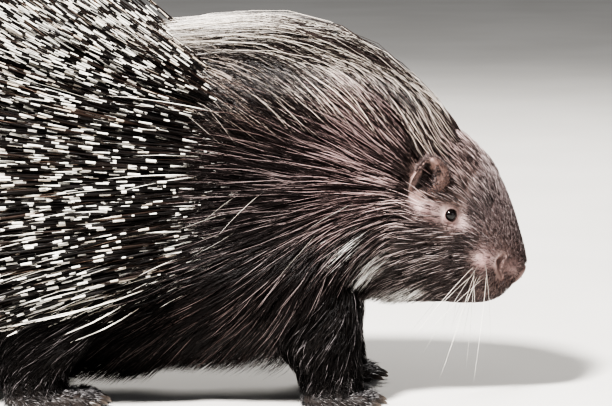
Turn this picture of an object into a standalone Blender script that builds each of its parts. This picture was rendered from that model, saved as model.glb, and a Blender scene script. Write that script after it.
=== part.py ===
"""A life-size Cape porcupine that walks with its head low and its quills half raised.

+X is forward, +Y is the animal's left, +Z is up, and the soles stand on z = 0.
The body is one tube of sections. Each section is given by a point on the line of the back,
a point on the line of the belly and a half width, and the nodes part between sections.
"""

import math

import bmesh
import bpy
import numpy as np
from mathutils import Matrix, Vector
from mathutils.bvhtree import BVHTree

# Room between two nodes that meet.
GAP = 0.0003
# From the sections' own zero to the middle of the whole animal.
MIDDLE_SHIFT = 0.105
SEED = 11

# Sections from the rump to the tip of the muzzle:
# back x, back z, belly x, belly z, half width.
BODY_SECTIONS = (
    (-0.334, 0.205, -0.334, 0.172, 0.016),
    (-0.322, 0.238, -0.322, 0.142, 0.045),
    (-0.295, 0.268, -0.297, 0.108, 0.072),
    (-0.250, 0.292, -0.255, 0.082, 0.093),
    (-0.190, 0.306, -0.195, 0.066, 0.106),
    (-0.110, 0.314, -0.115, 0.058, 0.112),
    (-0.030, 0.322, -0.035, 0.056, 0.112),
    (0.035, 0.329, 0.025, 0.060, 0.108),
    (0.085, 0.331, 0.068, 0.072, 0.102),
    (0.135, 0.328, 0.100, 0.090, 0.093),
    (0.178, 0.317, 0.131, 0.106, 0.084),
    (0.215, 0.303, 0.160, 0.117, 0.077),
    (0.245, 0.283, 0.184, 0.112, 0.071),
    (0.270, 0.266, 0.208, 0.107, 0.063),
    (0.290, 0.247, 0.232, 0.103, 0.054),
    (0.305, 0.222, 0.254, 0.100, 0.047),
    (0.315, 0.198, 0.273, 0.099, 0.041),
    (0.323, 0.173, 0.289, 0.100, 0.035),
    (0.329, 0.152, 0.302, 0.105, 0.027),
    (0.3315, 0.138, 0.313, 0.116, 0.014),
)
ROUNDNESS = 2.15
BODY_SIDES = 18
HEAD_SIDES = 26
# The body is grown by a little more than the gap to cut others clear of it.
ROOM_GROWTH = 1.3 * GAP
ROOM_RINGS = 34

# Places of the partings, counted in sections from the rump.
TORSO_FRONT = 6.4
SHOULDERS_FRONT = 9.2
NECK_FRONT = 11.0
MUZZLE_TIP = len(BODY_SECTIONS) - 1.0

# Quills of the torso. The first four tables run over turns from the line of the back,
# the last one over the sections from the rump forward.
QUILL_COUNT = 222
QUILL_RADIUS = 0.0027
QUILL_TURNS = (0, 25, 45, 70, 95, 125)
QUILL_RISE = (41, 33, 17, 1, -11, -22)
QUILL_LENGTH = (0.256, 0.224, 0.164, 0.128, 0.108, 0.084)
QUILL_SPLAY = (3, 10, 14, 15, 15, 14)
QUILL_RISE_SHARE = (0.36, 0.42, 0.54, 0.68, 0.80, 0.90, 1.0, 1.0)
QUILL_LENGTH_SHARE = (0.86, 0.88, 0.92, 0.96, 1.0, 1.0, 1.0, 0.98)
QUILL_FRONT = (6.28, 6.28, 6.26, 6.20, 5.95, 4.70)
QUILL_LEAST_SLOPE = 0.20

# Locks of the bristly coat.
LOCK_HALF_WIDTH = 0.0085
LOCK_HALF_THICKNESS = 0.0017
CREST_HALF_WIDTH = 0.0062
CREST_REAR = 7.3
ROOT_DEPTH = 0.0075
CLEARANCE = 0.0006

# Eyes, ears and the face.
EYE_RADIUS = 0.0068
EYE_X = 0.251
EYE_Z = 0.197
EYE_SHOW = 0.0024
LID_WIDTH = 0.0024
LID_STEPS = 12
LID_SIDES = 5
EAR_X = 0.219
EAR_Z = 0.236
EAR_HEIGHT = 0.050
EAR_WIDTH = 0.034
EAR_DEPTH = 0.012
EAR_WALL = 0.0022
NOSTRIL_X = 0.305
NOSTRIL_Z = 0.142
MOUTH_START = (0.313, 0.0, 0.111)
MOUTH_MIDDLE = (0.293, 0.030, 0.113)
MOUTH_CORNER = (0.262, 0.048, 0.121)
MOUTH_DEPTH = 0.0035
MOUTH_OPENING = 0.0011
NOSTRIL_SHAPE = ((0.004, 0.006), (-0.001, -0.001), (0.0, -0.008))
NOSTRIL_DEPTH = 0.0034
NOSTRIL_OPENING = 0.0016

# Legs: the fore and the hind pair, near is the animal's right side.
LEG_SPREAD = 0.070
FORE_NEAR_X = 0.118
FORE_FAR_X = 0.123
HIND_NEAR_X = -0.171
HIND_FAR_X = -0.215
WRIST_HEIGHT = 0.034
FORE_TOES = 4
HIND_TOES = 5
FORE_FOOT_LENGTH = 0.076
HIND_FOOT_LENGTH = 0.098
TOE_RADIUS = 0.0088
CLAW_LENGTH = 0.013
CLAW_RADIUS = 0.0027

# Tail: root, tip and half thickness.
TAIL_ROOT = (-0.312, 0.0, 0.172)
TAIL_TIP = (-0.368, 0.0, 0.132)
TAIL_RADIUS = 0.030
RATTLE_COUNT = 10
RATTLE_LENGTH = 0.046
RATTLE_RADIUS = 0.0030

SKIN_BROWN = (0.085, 0.060, 0.048)
FACE_GREY = (0.150, 0.110, 0.098)
EAR_PINK = (0.260, 0.150, 0.125)
EYE_BLACK = (0.008, 0.006, 0.005)
QUILL_BROWN = (0.050, 0.036, 0.030)
CLAW_HORN = (0.110, 0.085, 0.065)


def clear_scene():
    for obj in list(bpy.data.objects):
        bpy.data.objects.remove(obj, do_unlink=True)


def new_collection(name):
    made = bpy.data.collections.new(name)
    bpy.context.scene.collection.children.link(made)
    return made


def new_material(name, colour, roughness):
    material = bpy.data.materials.new(name)
    material.use_nodes = True
    shader = material.node_tree.nodes["Principled BSDF"]
    shader.inputs["Base Color"].default_value = (*colour, 1.0)
    shader.inputs["Roughness"].default_value = roughness
    shader.inputs["Metallic"].default_value = 0.0
    return material


def rows_at(rows, place):
    """Catmull-Rom curve through the rows, read at a place counted in rows."""
    rows = np.asarray(rows, float)
    if rows.ndim == 1:
        rows = rows[:, None]
    place = np.clip(np.asarray(place, float), 0.0, len(rows) - 1.0)
    first = np.minimum(place.astype(int), len(rows) - 2)
    part = (place - first)[..., None]
    padded = np.vstack([2 * rows[0] - rows[1], rows, 2 * rows[-1] - rows[-2]])
    a, b, c, d = (padded[first + step] for step in range(4))
    return 0.5 * (
        2 * b
        + (c - a) * part
        + (2 * a - 5 * b + 4 * c - d) * part**2
        + (3 * b - a - 3 * c + d) * part**3
    )


def body_surface(place, turn, depth=0.0):
    """Point of the body at a place along it and a turn from the line of the back, to the right.

    depth moves the point out within its section's plane.
    """
    row = rows_at(BODY_SECTIONS, place)
    back = np.stack([row[..., 0], 0 * row[..., 0], row[..., 1]], axis=-1)
    belly = np.stack([row[..., 2], 0 * row[..., 0], row[..., 3]], axis=-1)
    centre = (back + belly) / 2
    rise = (back - belly) / 2
    high = np.linalg.norm(rise, axis=-1)[..., None]
    wide = row[..., 4][..., None]
    power = 2 / ROUNDNESS
    upward = (np.sign(np.cos(turn)) * np.abs(np.cos(turn)) ** power)[..., None]
    outward = (np.sign(np.sin(turn)) * np.abs(np.sin(turn)) ** power)[..., None]
    depth = np.asarray(depth, float)[..., None]
    right = np.array([0.0, -1.0, 0.0])
    return centre + rise / high * upward * (high + depth) + right * outward * (wide + depth)


def face_place(x, z):
    """Place and turn, on the right side, of the point of the body that lies at this x and z."""
    place, turn = np.meshgrid(
        np.linspace(NECK_FRONT, MUZZLE_TIP, 401), np.linspace(0.1, 2.8, 271), indexing="ij"
    )
    points = body_surface(place, turn)
    miss = (points[..., 0] - x) ** 2 + (points[..., 2] - z) ** 2
    best = np.unravel_index(np.argmin(miss), miss.shape)
    return place[best], turn[best]


def point_and_normal(place, turn):
    """Point of the body as a Vector, and the direction straight out of it."""
    step = 0.01
    here = body_surface(place, turn)
    along = body_surface(place + step, turn) - body_surface(place - step, turn)
    around = body_surface(place, turn + step) - body_surface(place, turn - step)
    normal = Vector(np.cross(along, around)).normalized()
    inside = Vector(body_surface(place, 0.0) + body_surface(place, math.pi)) / 2
    if normal.dot(Vector(here) - inside) < 0:
        normal.negate()
    return Vector(here), normal


def mirrored(point, side):
    """The same point on the right side for side -1, and on the left side for side 1."""
    return Vector((point[0], side * abs(point[1]), point[2]))


def mesh_object(name, shape, material=None):
    """A named object from a bmesh, triangulated and shaded smooth."""
    bmesh.ops.triangulate(shape, faces=shape.faces)
    bmesh.ops.recalc_face_normals(shape, faces=shape.faces)
    mesh = bpy.data.meshes.new(name)
    shape.to_mesh(mesh)
    shape.free()
    mesh.shade_smooth()
    if material:
        mesh.materials.append(material)
    obj = bpy.data.objects.new(name, mesh)
    bpy.context.scene.collection.objects.link(obj)
    return obj


def loft(name, rings, material=None):
    """Closed surface through rings of equal count. A ring of one point closes that end."""
    shape = bmesh.new()
    made = [[shape.verts.new(point) for point in ring] for ring in rings]
    for lower, upper in zip(made, made[1:]):
        count = max(len(lower), len(upper))
        for index in range(count):
            after = (index + 1) % count
            corners = [lower[index % len(lower)], lower[after % len(lower)]]
            corners += [upper[after % len(upper)], upper[index % len(upper)]]
            shape.faces.new(dict.fromkeys(corners))
    for ring in (made[0], made[-1]):
        if len(ring) > 2:
            shape.faces.new(ring)
    return mesh_object(name, shape, material)


def ring_around(centre, first, second, wide, high, sides, start=0.0):
    """Ellipse of points around a centre, wide along the first axis and high along the second."""
    turns = [start + 2 * math.pi * index / sides for index in range(sides)]
    return [
        centre + first * (wide * math.cos(turn)) + second * (high * math.sin(turn))
        for turn in turns
    ]


def finished(obj, mesh):
    """Gives the object its evaluated mesh, with only its largest closed surface."""
    shape = bmesh.new()
    shape.from_mesh(mesh)
    shape.verts.ensure_lookup_table()
    unseen = set(shape.verts)
    islands = []
    while unseen:
        island = set()
        open_verts = [unseen.pop()]
        while open_verts:
            vert = open_verts.pop()
            island.add(vert)
            for edge in vert.link_edges:
                other = edge.other_vert(vert)
                if other in unseen:
                    unseen.remove(other)
                    open_verts.append(other)
        islands.append(island)

    def reach(island):
        places = np.array([vert.co[:] for vert in island])
        return float(np.prod(places.max(axis=0) - places.min(axis=0)))

    islands.sort(key=reach)
    scraps = [vert for island in islands[:-1] for vert in island]
    bmesh.ops.delete(shape, geom=scraps, context="VERTS")
    shape.to_mesh(mesh)
    shape.free()
    mesh.shade_smooth()
    obj.modifiers.clear()
    obj.data = mesh


def combine(obj, pieces, operation, solver="EXACT"):
    """One Boolean of the object with all the pieces, applied, and the pieces removed."""
    holder = new_collection(obj.name + "_pieces")
    for piece in pieces:
        holder.objects.link(piece)
    boolean = obj.modifiers.new(operation.title(), "BOOLEAN")
    boolean.operand_type = "COLLECTION"
    boolean.collection = holder
    boolean.operation = operation
    boolean.solver = solver
    bpy.context.view_layer.update()
    graph = bpy.context.evaluated_depsgraph_get()
    finished(obj, bpy.data.meshes.new_from_object(obj.evaluated_get(graph)))
    for piece in pieces:
        bpy.data.objects.remove(piece, do_unlink=True)
    bpy.data.collections.remove(holder)


def body_rings(places, sides, grow=0.0):
    """Rings of the body at these places, grown by a small room."""
    turns = np.linspace(0.0, 2 * math.pi, sides, endpoint=False)
    rings = []
    for place in places:
        ring = body_surface(np.full(sides, place), turns, np.full(sides, grow))
        rings.append([Vector(point) for point in ring])
    return rings


def parted(places):
    """Places of a node's rings, drawn back from the parting ahead of it by the gap."""
    row = rows_at(BODY_SECTIONS, np.array([places[-2], places[-1]]))
    span = np.linalg.norm(row[1, 2:4] - row[0, 2:4])
    span = min(span, np.linalg.norm(row[1, :2] - row[0, :2]))
    back_off = (places[-1] - places[-2]) * GAP / span
    return [*places[:-1], places[-1] - back_off]


def build_trunk(materials):
    nodes = {}
    for name, first, last, count in (
        ("torso", 0.0, TORSO_FRONT, 14),
        ("shoulders", TORSO_FRONT, SHOULDERS_FRONT, 8),
        ("neck", SHOULDERS_FRONT, NECK_FRONT, 6),
    ):
        places = parted(list(np.linspace(first, last, count)))
        nodes[name] = loft(name, body_rings(places, BODY_SIDES), materials["coat"])
    return nodes


def trunk_room():
    """The whole trunk, grown by the gap, to cut the legs, ears and tail clear of it."""
    places = np.linspace(0.0, NECK_FRONT, ROOM_RINGS)
    return loft("trunk_room", body_rings(places, BODY_SIDES, grow=ROOM_GROWTH))


def head_room():
    places = np.linspace(NECK_FRONT - 0.3, MUZZLE_TIP, ROOM_RINGS)
    return loft("head_room", body_rings(places, HEAD_SIDES, grow=ROOM_GROWTH))


def eye_centre(side):
    place, turn = face_place(EYE_X, EYE_Z)
    point, normal = point_and_normal(place, turn)
    centre = point - normal * (EYE_RADIUS - EYE_SHOW)
    return mirrored(centre, side), Vector((normal.x, side * abs(normal.y), normal.z))


def sphere(name, centre, radius, segments=12, rings=8, material=None):
    shape = bmesh.new()
    bmesh.ops.create_uvsphere(shape, u_segments=segments, v_segments=rings, radius=radius)
    shape.transform(Matrix.Translation(centre))
    return mesh_object(name, shape, material)


def lid_ring(side):
    """Raised rim of the lids around one eye."""
    centre, normal = eye_centre(side)
    forward = Vector((0.8, 0.0, -0.6))
    forward = (forward - normal * forward.dot(normal)).normalized()
    upward = normal.cross(forward).normalized()
    rings = []
    for index in range(LID_STEPS):
        turn = 2 * math.pi * index / LID_STEPS
        out = forward * math.cos(turn) + upward * math.sin(turn)
        narrow = 1.0 - 0.16 * math.sin(turn) ** 2
        middle = centre + normal * (EYE_RADIUS * 0.62) + out * (EYE_RADIUS * 1.02 * narrow)
        rings.append(ring_around(middle, out, normal, LID_WIDTH, LID_WIDTH * 0.9, LID_SIDES))
    shape = bmesh.new()
    made = [[shape.verts.new(point) for point in ring] for ring in rings]
    for number, ring in enumerate(made):
        following = made[(number + 1) % len(made)]
        for index in range(LID_SIDES):
            after = (index + 1) % LID_SIDES
            shape.faces.new((ring[index], ring[after], following[after], following[index]))
    return mesh_object("lid_ring", shape)


def slot_cutter(name, points, wide, high):
    """Thin bent bar through the points, of a lens-shaped section, to cut a line into the face."""
    rings = []
    for index, point in enumerate(points):
        ahead = points[min(index + 1, len(points) - 1)] - points[max(index - 1, 0)]
        ahead.normalize()
        upward = Vector((0.0, 0.0, 1.0))
        upward = (upward - ahead * upward.dot(ahead)).normalized()
        outward = ahead.cross(upward)
        rings.append(ring_around(point, outward, upward, wide, high, 4))
    return loft(name, rings)


def mouth_cutter():
    """Line of the closed mouth, from corner to corner around the front of the muzzle."""
    start = Vector(MOUTH_START)
    points = []
    for side in (-1, 1):
        middle = mirrored(MOUTH_MIDDLE, side)
        corner = mirrored(MOUTH_CORNER, side)
        run = []
        for step in range(5):
            part = step / 4
            point = start * (1 - part) ** 2 + middle * 2 * part * (1 - part) + corner * part**2
            run.append(point)
        points = run[::-1] if side < 0 else points + run[1:]
    return slot_cutter("mouth_line", points, MOUTH_DEPTH, MOUTH_OPENING)


def nostril_cutter(side):
    place, turn = face_place(NOSTRIL_X, NOSTRIL_Z)
    point, normal = point_and_normal(place, turn)
    point = mirrored(point, side)
    normal = Vector((normal.x, side * abs(normal.y), normal.z))
    ends = [Vector((x, 0.0, z)) for x, z in NOSTRIL_SHAPE]
    points = [point - normal * 0.0005 + end for end in ends]
    return slot_cutter("nostril", points, NOSTRIL_DEPTH, NOSTRIL_OPENING)


def build_head(materials):
    places = list(np.linspace(NECK_FRONT, MUZZLE_TIP, 19))
    head = loft("head", body_rings(places, HEAD_SIDES), materials["face"])
    combine(head, [lid_ring(-1), lid_ring(1)], "UNION")
    cutters = [mouth_cutter()]
    for side in (-1, 1):
        centre, _ = eye_centre(side)
        cutters.append(sphere("socket", centre, EYE_RADIUS + GAP))
        cutters.append(nostril_cutter(side))
    combine(head, cutters, "DIFFERENCE")
    return {"head": head}


def build_eyes(materials):
    nodes = {}
    for side, word in ((-1, "right"), (1, "left")):
        centre, _ = eye_centre(side)
        name = "eye_" + word
        nodes[name] = sphere(name, centre, EYE_RADIUS, material=materials["eye"])
    return nodes


def build_ear(side, name, material):
    """Cupped ear: rings up the outside to the rim and back down the inside."""
    place, turn = face_place(EAR_X, EAR_Z)
    root, normal = point_and_normal(place, turn)
    root = mirrored(root, side)
    normal = Vector((normal.x, side * abs(normal.y), normal.z))
    rise = Vector((0.20, side * 0.30, 0.93)).normalized()
    open_way = Vector((0.62, side * 0.78, 0.0))
    open_way = (open_way - rise * open_way.dot(rise)).normalized()
    across = rise.cross(open_way)
    middle = root + rise * (EAR_HEIGHT * 0.30) + open_way * 0.002
    rings = [[middle - open_way * EAR_DEPTH]]
    profile = ((0.55, -0.85), (0.86, -0.45), (1.0, 0.0), (0.98, 0.16), (0.84, 0.0), (0.68, -0.38))
    for width, depth in profile:
        rings.append(
            ring_around(
                middle + open_way * (EAR_DEPTH * depth),
                across,
                rise,
                EAR_WIDTH / 2 * width,
                EAR_HEIGHT / 2 * width,
                12,
            )
        )
    rings.append([middle - open_way * (EAR_DEPTH - EAR_WALL)])
    ear = loft(name, rings, material)
    combine(ear, [head_room(), trunk_room()], "DIFFERENCE")
    return ear


def leg_rings(rows, side):
    """Level ellipses of a leg: height, middle x, distance from the middle, half length, half width."""
    rings = []
    for z, x, out, long, wide in rows:
        centre = Vector((x, side * out, z))
        rings.append(ring_around(centre, Vector((1, 0, 0)), Vector((0, 1, 0)), long, wide, 10))
    return rings


def fore_leg_rows(x):
    return (
        (0.160, x - 0.020, 0.046, 0.036, 0.028),
        (0.120, x - 0.012, 0.060, 0.045, 0.031),
        (0.084, x - 0.008, 0.067, 0.045, 0.030),
        (0.056, x - 0.003, LEG_SPREAD, 0.038, 0.027),
        (WRIST_HEIGHT, x + 0.006, LEG_SPREAD, 0.031, 0.024),
    )


def hind_leg_rows(x):
    return (
        (0.160, x + 0.030, 0.046, 0.056, 0.034),
        (0.115, x + 0.024, 0.060, 0.058, 0.035),
        (0.084, x + 0.012, 0.067, 0.052, 0.033),
        (0.056, x - 0.002, LEG_SPREAD, 0.042, 0.029),
        (WRIST_HEIGHT, x - 0.010, LEG_SPREAD, 0.033, 0.025),
    )


def stem(name, root, ahead, length, profile, sides, droop=0.0, material=None):
    """Round piece along a level line, through shares of its length and thicknesses."""
    across = Vector((0, 0, 1)).cross(ahead).normalized()
    upward = ahead.cross(across)
    rings = []
    for part, wide, high in profile:
        middle = root + ahead * (length * part) - upward * (droop * part**2)
        rings.append(ring_around(middle, across, upward, wide, high, sides))
    return loft(name, rings, material)


def toe(root, ahead, length):
    """Blunt toe that ends in the small flat face where its claw begins."""
    profile = (
        (0.0, TOE_RADIUS * 0.85, TOE_RADIUS * 0.85),
        (0.70, TOE_RADIUS, TOE_RADIUS * 0.95),
        (1.0, CLAW_RADIUS * 1.15, CLAW_RADIUS * 1.25),
    )
    return stem("toe", root, ahead, length, profile, 6)


def claw(name, root, ahead, material):
    """Blunt, slightly curved claw."""
    profile = (
        (0.0, CLAW_RADIUS, CLAW_RADIUS * 1.15),
        (0.5, CLAW_RADIUS * 0.80, CLAW_RADIUS * 0.95),
        (1.0, CLAW_RADIUS * 0.22, CLAW_RADIUS * 0.28),
    )
    return stem(name, root, ahead, CLAW_LENGTH, profile, 6, CLAW_LENGTH * 0.18, material)


def toe_lines(x, y, foot_length, toes):
    """Root, forward direction and length of each toe, fanned out from the middle of the foot."""
    lines = []
    for index in range(toes):
        across = (index - (toes - 1) / 2) / ((toes - 1) / 2)
        fan = math.radians(16 * across)
        ahead = Vector((math.cos(fan), math.sin(fan), 0.0))
        root = Vector((x + foot_length * 0.42, y + across * 0.019, 0.0085))
        reach = foot_length * (0.30 - 0.07 * across**2)
        lines.append((root, ahead, reach))
    return lines


def build_leg(fore, side, x, materials):
    """Leg, foot and claws of one limb, as their own nodes."""
    word = ("fore" if fore else "hind") + ("_left" if side > 0 else "_right")
    y = side * LEG_SPREAD
    rows = fore_leg_rows(x) if fore else hind_leg_rows(x)
    foot_length = FORE_FOOT_LENGTH if fore else HIND_FOOT_LENGTH
    toes = FORE_TOES if fore else HIND_TOES
    leg = loft("leg_" + word, leg_rings(rows, side), materials["coat"])
    combine(leg, [trunk_room()], "DIFFERENCE")

    z, middle, out, long, wide = rows[-1]
    ankle = (
        (z - GAP, middle, out, long, wide),
        (0.016, middle + 0.002, out, long * 0.90, wide * 0.98),
        (-0.004, middle + 0.002, out, long * 0.78, wide * 0.90),
    )
    foot = loft("foot_" + word, leg_rings(ankle, side), materials["foot"])
    pad_rows = ((0.0, 0.50), (0.15, 0.90), (0.75, 1.0), (0.92, 0.62))
    heel = middle - long * 0.85
    pad_rings = []
    for part, thick in pad_rows:
        pad_rings.append(
            ring_around(
                Vector((heel + part * (foot_length * 0.86), y, 0.007)),
                Vector((0, 1, 0)),
                Vector((0, 0, 1)),
                0.027 * thick,
                0.0125 * thick,
                8,
            )
        )
    pieces = [loft("pad", pad_rings)]
    lines = toe_lines(heel + foot_length * 0.25, y, foot_length, toes)
    pieces += [toe(root, ahead, reach) for root, ahead, reach in lines]
    combine(foot, pieces, "UNION", solver="MANIFOLD")
    floor = bmesh.new()
    bmesh.ops.create_cube(floor, size=1.0)
    floor.transform(Matrix.Translation(Vector((0, 0, -0.5))))
    combine(foot, [mesh_object("floor_room", floor)], "DIFFERENCE", solver="MANIFOLD")

    nodes = {leg.name: leg, foot.name: foot}
    for index, (root, ahead, reach) in enumerate(lines):
        name = f"claw_{word}_{index + 1}"
        nodes[name] = claw(name, root + ahead * (reach + GAP), ahead, materials["claw"])
    return nodes


def lofted(rings):
    """Points and faces of a closed surface through rings, the last of them a single point."""
    points = [point for ring in rings for point in ring]
    starts = np.cumsum([0] + [len(ring) for ring in rings])
    faces = []
    for number, (lower, upper) in enumerate(zip(rings, rings[1:])):
        for index in range(len(lower)):
            after = (index + 1) % len(lower)
            low, low_after = starts[number] + index, starts[number] + after
            high, high_after = starts[number + 1] + index, starts[number + 1] + after
            if len(upper) == 1:
                faces.append((low, low_after, starts[number + 1]))
            else:
                faces.append((low, low_after, high_after))
                faces.append((low, high_after, high))
    faces.append(tuple(range(len(rings[0])))[::-1])
    return points, faces


def tree_of(obj):
    mesh = obj.data
    return BVHTree.FromPolygons(
        [vert.co for vert in mesh.vertices], [face.vertices[:] for face in mesh.polygons]
    )


def quill_rings(path, radius):
    """Three-sided spine through its root, its middle and its tip."""
    root, middle, tip = path
    rings = []
    for centre, thick in ((root, 0.9), (middle, 1.0)):
        ahead = (tip - root).normalized()
        across = Vector((0, 0, 1)).cross(ahead).normalized()
        rings.append(
            ring_around(centre, across, ahead.cross(across), radius * thick, radius * thick, 3, 0.5)
        )
    return [*rings, [tip]]


def lock_rings(path, half_width, half_thickness):
    """Flat, four-sided lock that tapers to its tip. The path holds points and normals."""
    shares = (0.75, 1.0, 0.9, 0.62)
    rings = []
    for index, (centre, normal) in enumerate(path[:-1]):
        ahead = (path[index + 1][0] - path[max(index - 1, 0)][0]).normalized()
        across = ahead.cross(normal).normalized()
        upward = across.cross(ahead)
        share = shares[min(index, len(shares) - 1)]
        rings.append(
            ring_around(centre, across, upward, half_width * share, half_thickness * share, 4)
        )
    return [*rings, [path[-1][0]]]


def lock_path(place, turn, length, drift, heights, shares):
    """Points and normals of a lock that runs back along the body.

    drift is its angle from straight back towards the belly. The heights over the skin
    belong to the shares of the length.
    """
    step = 0.05
    along = np.linalg.norm(body_surface(place + step, turn) - body_surface(place - step, turn))
    around = np.linalg.norm(body_surface(place, turn + step) - body_surface(place, turn - step))
    side = 1 if turn >= 0 else -1
    path = []
    for share, height in zip(shares, heights):
        here = place - share * length * math.cos(drift) * 2 * step / along
        at_turn = turn + side * share * length * math.sin(drift) * 2 * step / around
        point, normal = point_and_normal(max(here, 0.1), at_turn)
        path.append((point + normal * height, normal))
    return path


def quill_path(place, turn, rng):
    """Root, middle and tip of a quill at a place of the torso."""
    degrees = abs(math.degrees(turn))
    rise = np.interp(degrees, QUILL_TURNS, QUILL_RISE)
    rise = rise * rows_at(QUILL_RISE_SHARE, place)[0] if rise > 0 else rise
    rise = math.radians(rise + rng.normal(0, 2.5))
    splay = math.radians(np.interp(degrees, QUILL_TURNS, QUILL_SPLAY) + rng.normal(0, 2.5))
    length = np.interp(degrees, QUILL_TURNS, QUILL_LENGTH)
    length *= rows_at(QUILL_LENGTH_SHARE, place)[0] * rng.uniform(0.84, 1.08)
    side = -1 if turn >= 0 else 1
    ahead = Vector(
        (
            -math.cos(rise) * math.cos(splay),
            side * math.sin(splay),
            math.sin(rise) * math.cos(splay),
        )
    )
    point, normal = point_and_normal(place, turn)
    lacking = QUILL_LEAST_SLOPE - ahead.dot(normal)
    if lacking > 0:
        ahead = (ahead + normal * lacking).normalized()
    root = point - normal * ROOT_DEPTH
    middle = point + ahead * (length * 0.46) + normal * (length * 0.012)
    tip = point + ahead * length
    return [root, middle, tip]


def even_places(count, low, high, widest_turn, rng):
    """Evenly spread places and turns over a stretch of the body, in a jittered spiral order."""
    golden = 0.7548776662
    silver = 0.5698402910
    for index in range(count):
        place = low + (high - low) * ((0.5 + golden * index) % 1.0)
        turn = widest_turn * (2 * ((0.5 + silver * index) % 1.0) - 1)
        yield place + rng.normal(0, 0.03), turn + rng.normal(0, 0.02)


def clear(rings_of, obstacles):
    """Whether the strand, fattened by the clearance, crosses none of the other nodes."""
    tree = BVHTree.FromPolygons(*lofted(rings_of(CLEARANCE)))
    return not any(tree.overlap(other) for other in obstacles)


def fuse_strands(nodes, name, strands):
    """Joins the strands to their node, and keeps those that stand clear of all other nodes."""
    obstacles = [tree_of(obj) for other, obj in nodes.items() if other != name]
    kept = []
    for tries in strands:
        for rings_of in tries:
            if clear(rings_of, obstacles):
                kept.append(loft("strand", rings_of(0.0)))
                break
    combine(nodes[name], kept, "UNION", solver="MANIFOLD")


def lock_tries(place, turn, length, drift, heights, shares, half_width):
    """The same lock at its full size, and then shorter and lower or higher."""
    tries = []
    for shorter, lift in ((1.0, 1.0), (1.0, 1.35), (0.8, 0.8), (0.8, 1.2), (0.6, 1.0), (0.45, 1.0)):
        lifted = [height * lift if height > 0 else height for height in heights]
        path = lock_path(place, turn, length * shorter, drift, lifted, shares)
        tries.append(
            lambda room, path=path: lock_rings(
                path, half_width + room, LOCK_HALF_THICKNESS + room
            )
        )
    return tries


def crest_locks(low, high, rows, across, spread, rng):
    """Long locks of the crest, in staggered rows, that arch up and back.

    Those rooted further forward are longer and rise over the ones behind them.
    """
    strands = []
    for row, place in enumerate(np.linspace(low, high, rows)):
        forward = (place - CREST_REAR) / (NECK_FRONT - CREST_REAR)
        for number in range(across):
            turn = spread * (2 * (number + 0.5 + 0.5 * (row % 2)) / across - 1)
            turn += rng.normal(0, 0.02)
            rise = math.cos(turn) ** 2
            length = (0.55 + 0.45 * rise) * (0.125 + 0.095 * forward) * rng.uniform(0.92, 1.06)
            top = (0.35 + 0.65 * rise) * (0.046 + 0.032 * forward) * rng.uniform(0.92, 1.08)
            heights = (-ROOT_DEPTH, top * 0.50, top * 0.92, top * 1.02, top * 0.90)
            strands.append(
                lock_tries(
                    place + rng.normal(0, 0.03),
                    turn,
                    length,
                    math.radians(-3),
                    heights,
                    (0.0, 0.20, 0.46, 0.76, 1.0),
                    CREST_HALF_WIDTH,
                )
            )
    return strands


def flank_locks(count, low, high, first_turn, last_turn, length, lift, rng):
    """Locks over one stretch of both flanks, that run back and further down the lower they are."""
    strands = []
    for place, spread in even_places(count, low, high, 1.0, rng):
        turn = math.copysign(first_turn + (last_turn - first_turn) * abs(spread), spread)
        degrees = abs(math.degrees(turn))
        drift = math.radians(np.interp(degrees, (30, 60, 90, 120, 150), (-14, -6, 8, 30, 40)))
        reach = length * rng.uniform(0.85, 1.15)
        height = lift * rng.uniform(0.85, 1.15)
        heights = (-ROOT_DEPTH, height * 0.45, height * 0.8, height, height * 1.05)
        strands.append(
            lock_tries(
                place, turn, reach, drift, heights, (0.0, 0.24, 0.52, 0.80, 1.0), LOCK_HALF_WIDTH
            )
        )
    return strands


def quills(count, low, high, rng):
    """Quills over the back, the rump and the flanks."""
    strands = []
    for place, turn in even_places(count, low, high, math.radians(QUILL_TURNS[-1]), rng):
        front = np.interp(abs(math.degrees(turn)), QUILL_TURNS, QUILL_FRONT)
        place = low + (place - low) * (front - low) / (high - low)
        if not low <= place <= TORSO_FRONT - 0.12:
            continue
        path = quill_path(place, turn, rng)
        tries = []
        for shorter in (1.0, 0.75, 0.5):
            tip = path[0].lerp(path[2], shorter)
            middle = path[0].lerp(path[1], shorter)
            tries.append(
                lambda room, run=(path[0], middle, tip): quill_rings(run, QUILL_RADIUS + room)
            )
        strands.append(tries)
    return strands


def crown_locks(rng):
    """Shorter locks behind the forehead, which the crest begins with."""
    strands = []
    for place, across in ((12.3, 3), (11.7, 4)):
        for number in range(across):
            turn = 0.62 * (2 * (number + 0.5) / across - 1)
            top = (0.026 if across == 3 else 0.034) * rng.uniform(0.9, 1.1)
            heights = (-ROOT_DEPTH, top * 0.30, top * 0.62, top * 0.86, top)
            shares = (0.0, 0.22, 0.50, 0.78, 1.0)
            strands.append(
                lock_tries(place, turn, 0.095, 0.0, heights, shares, CREST_HALF_WIDTH)
            )
    return strands


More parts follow.
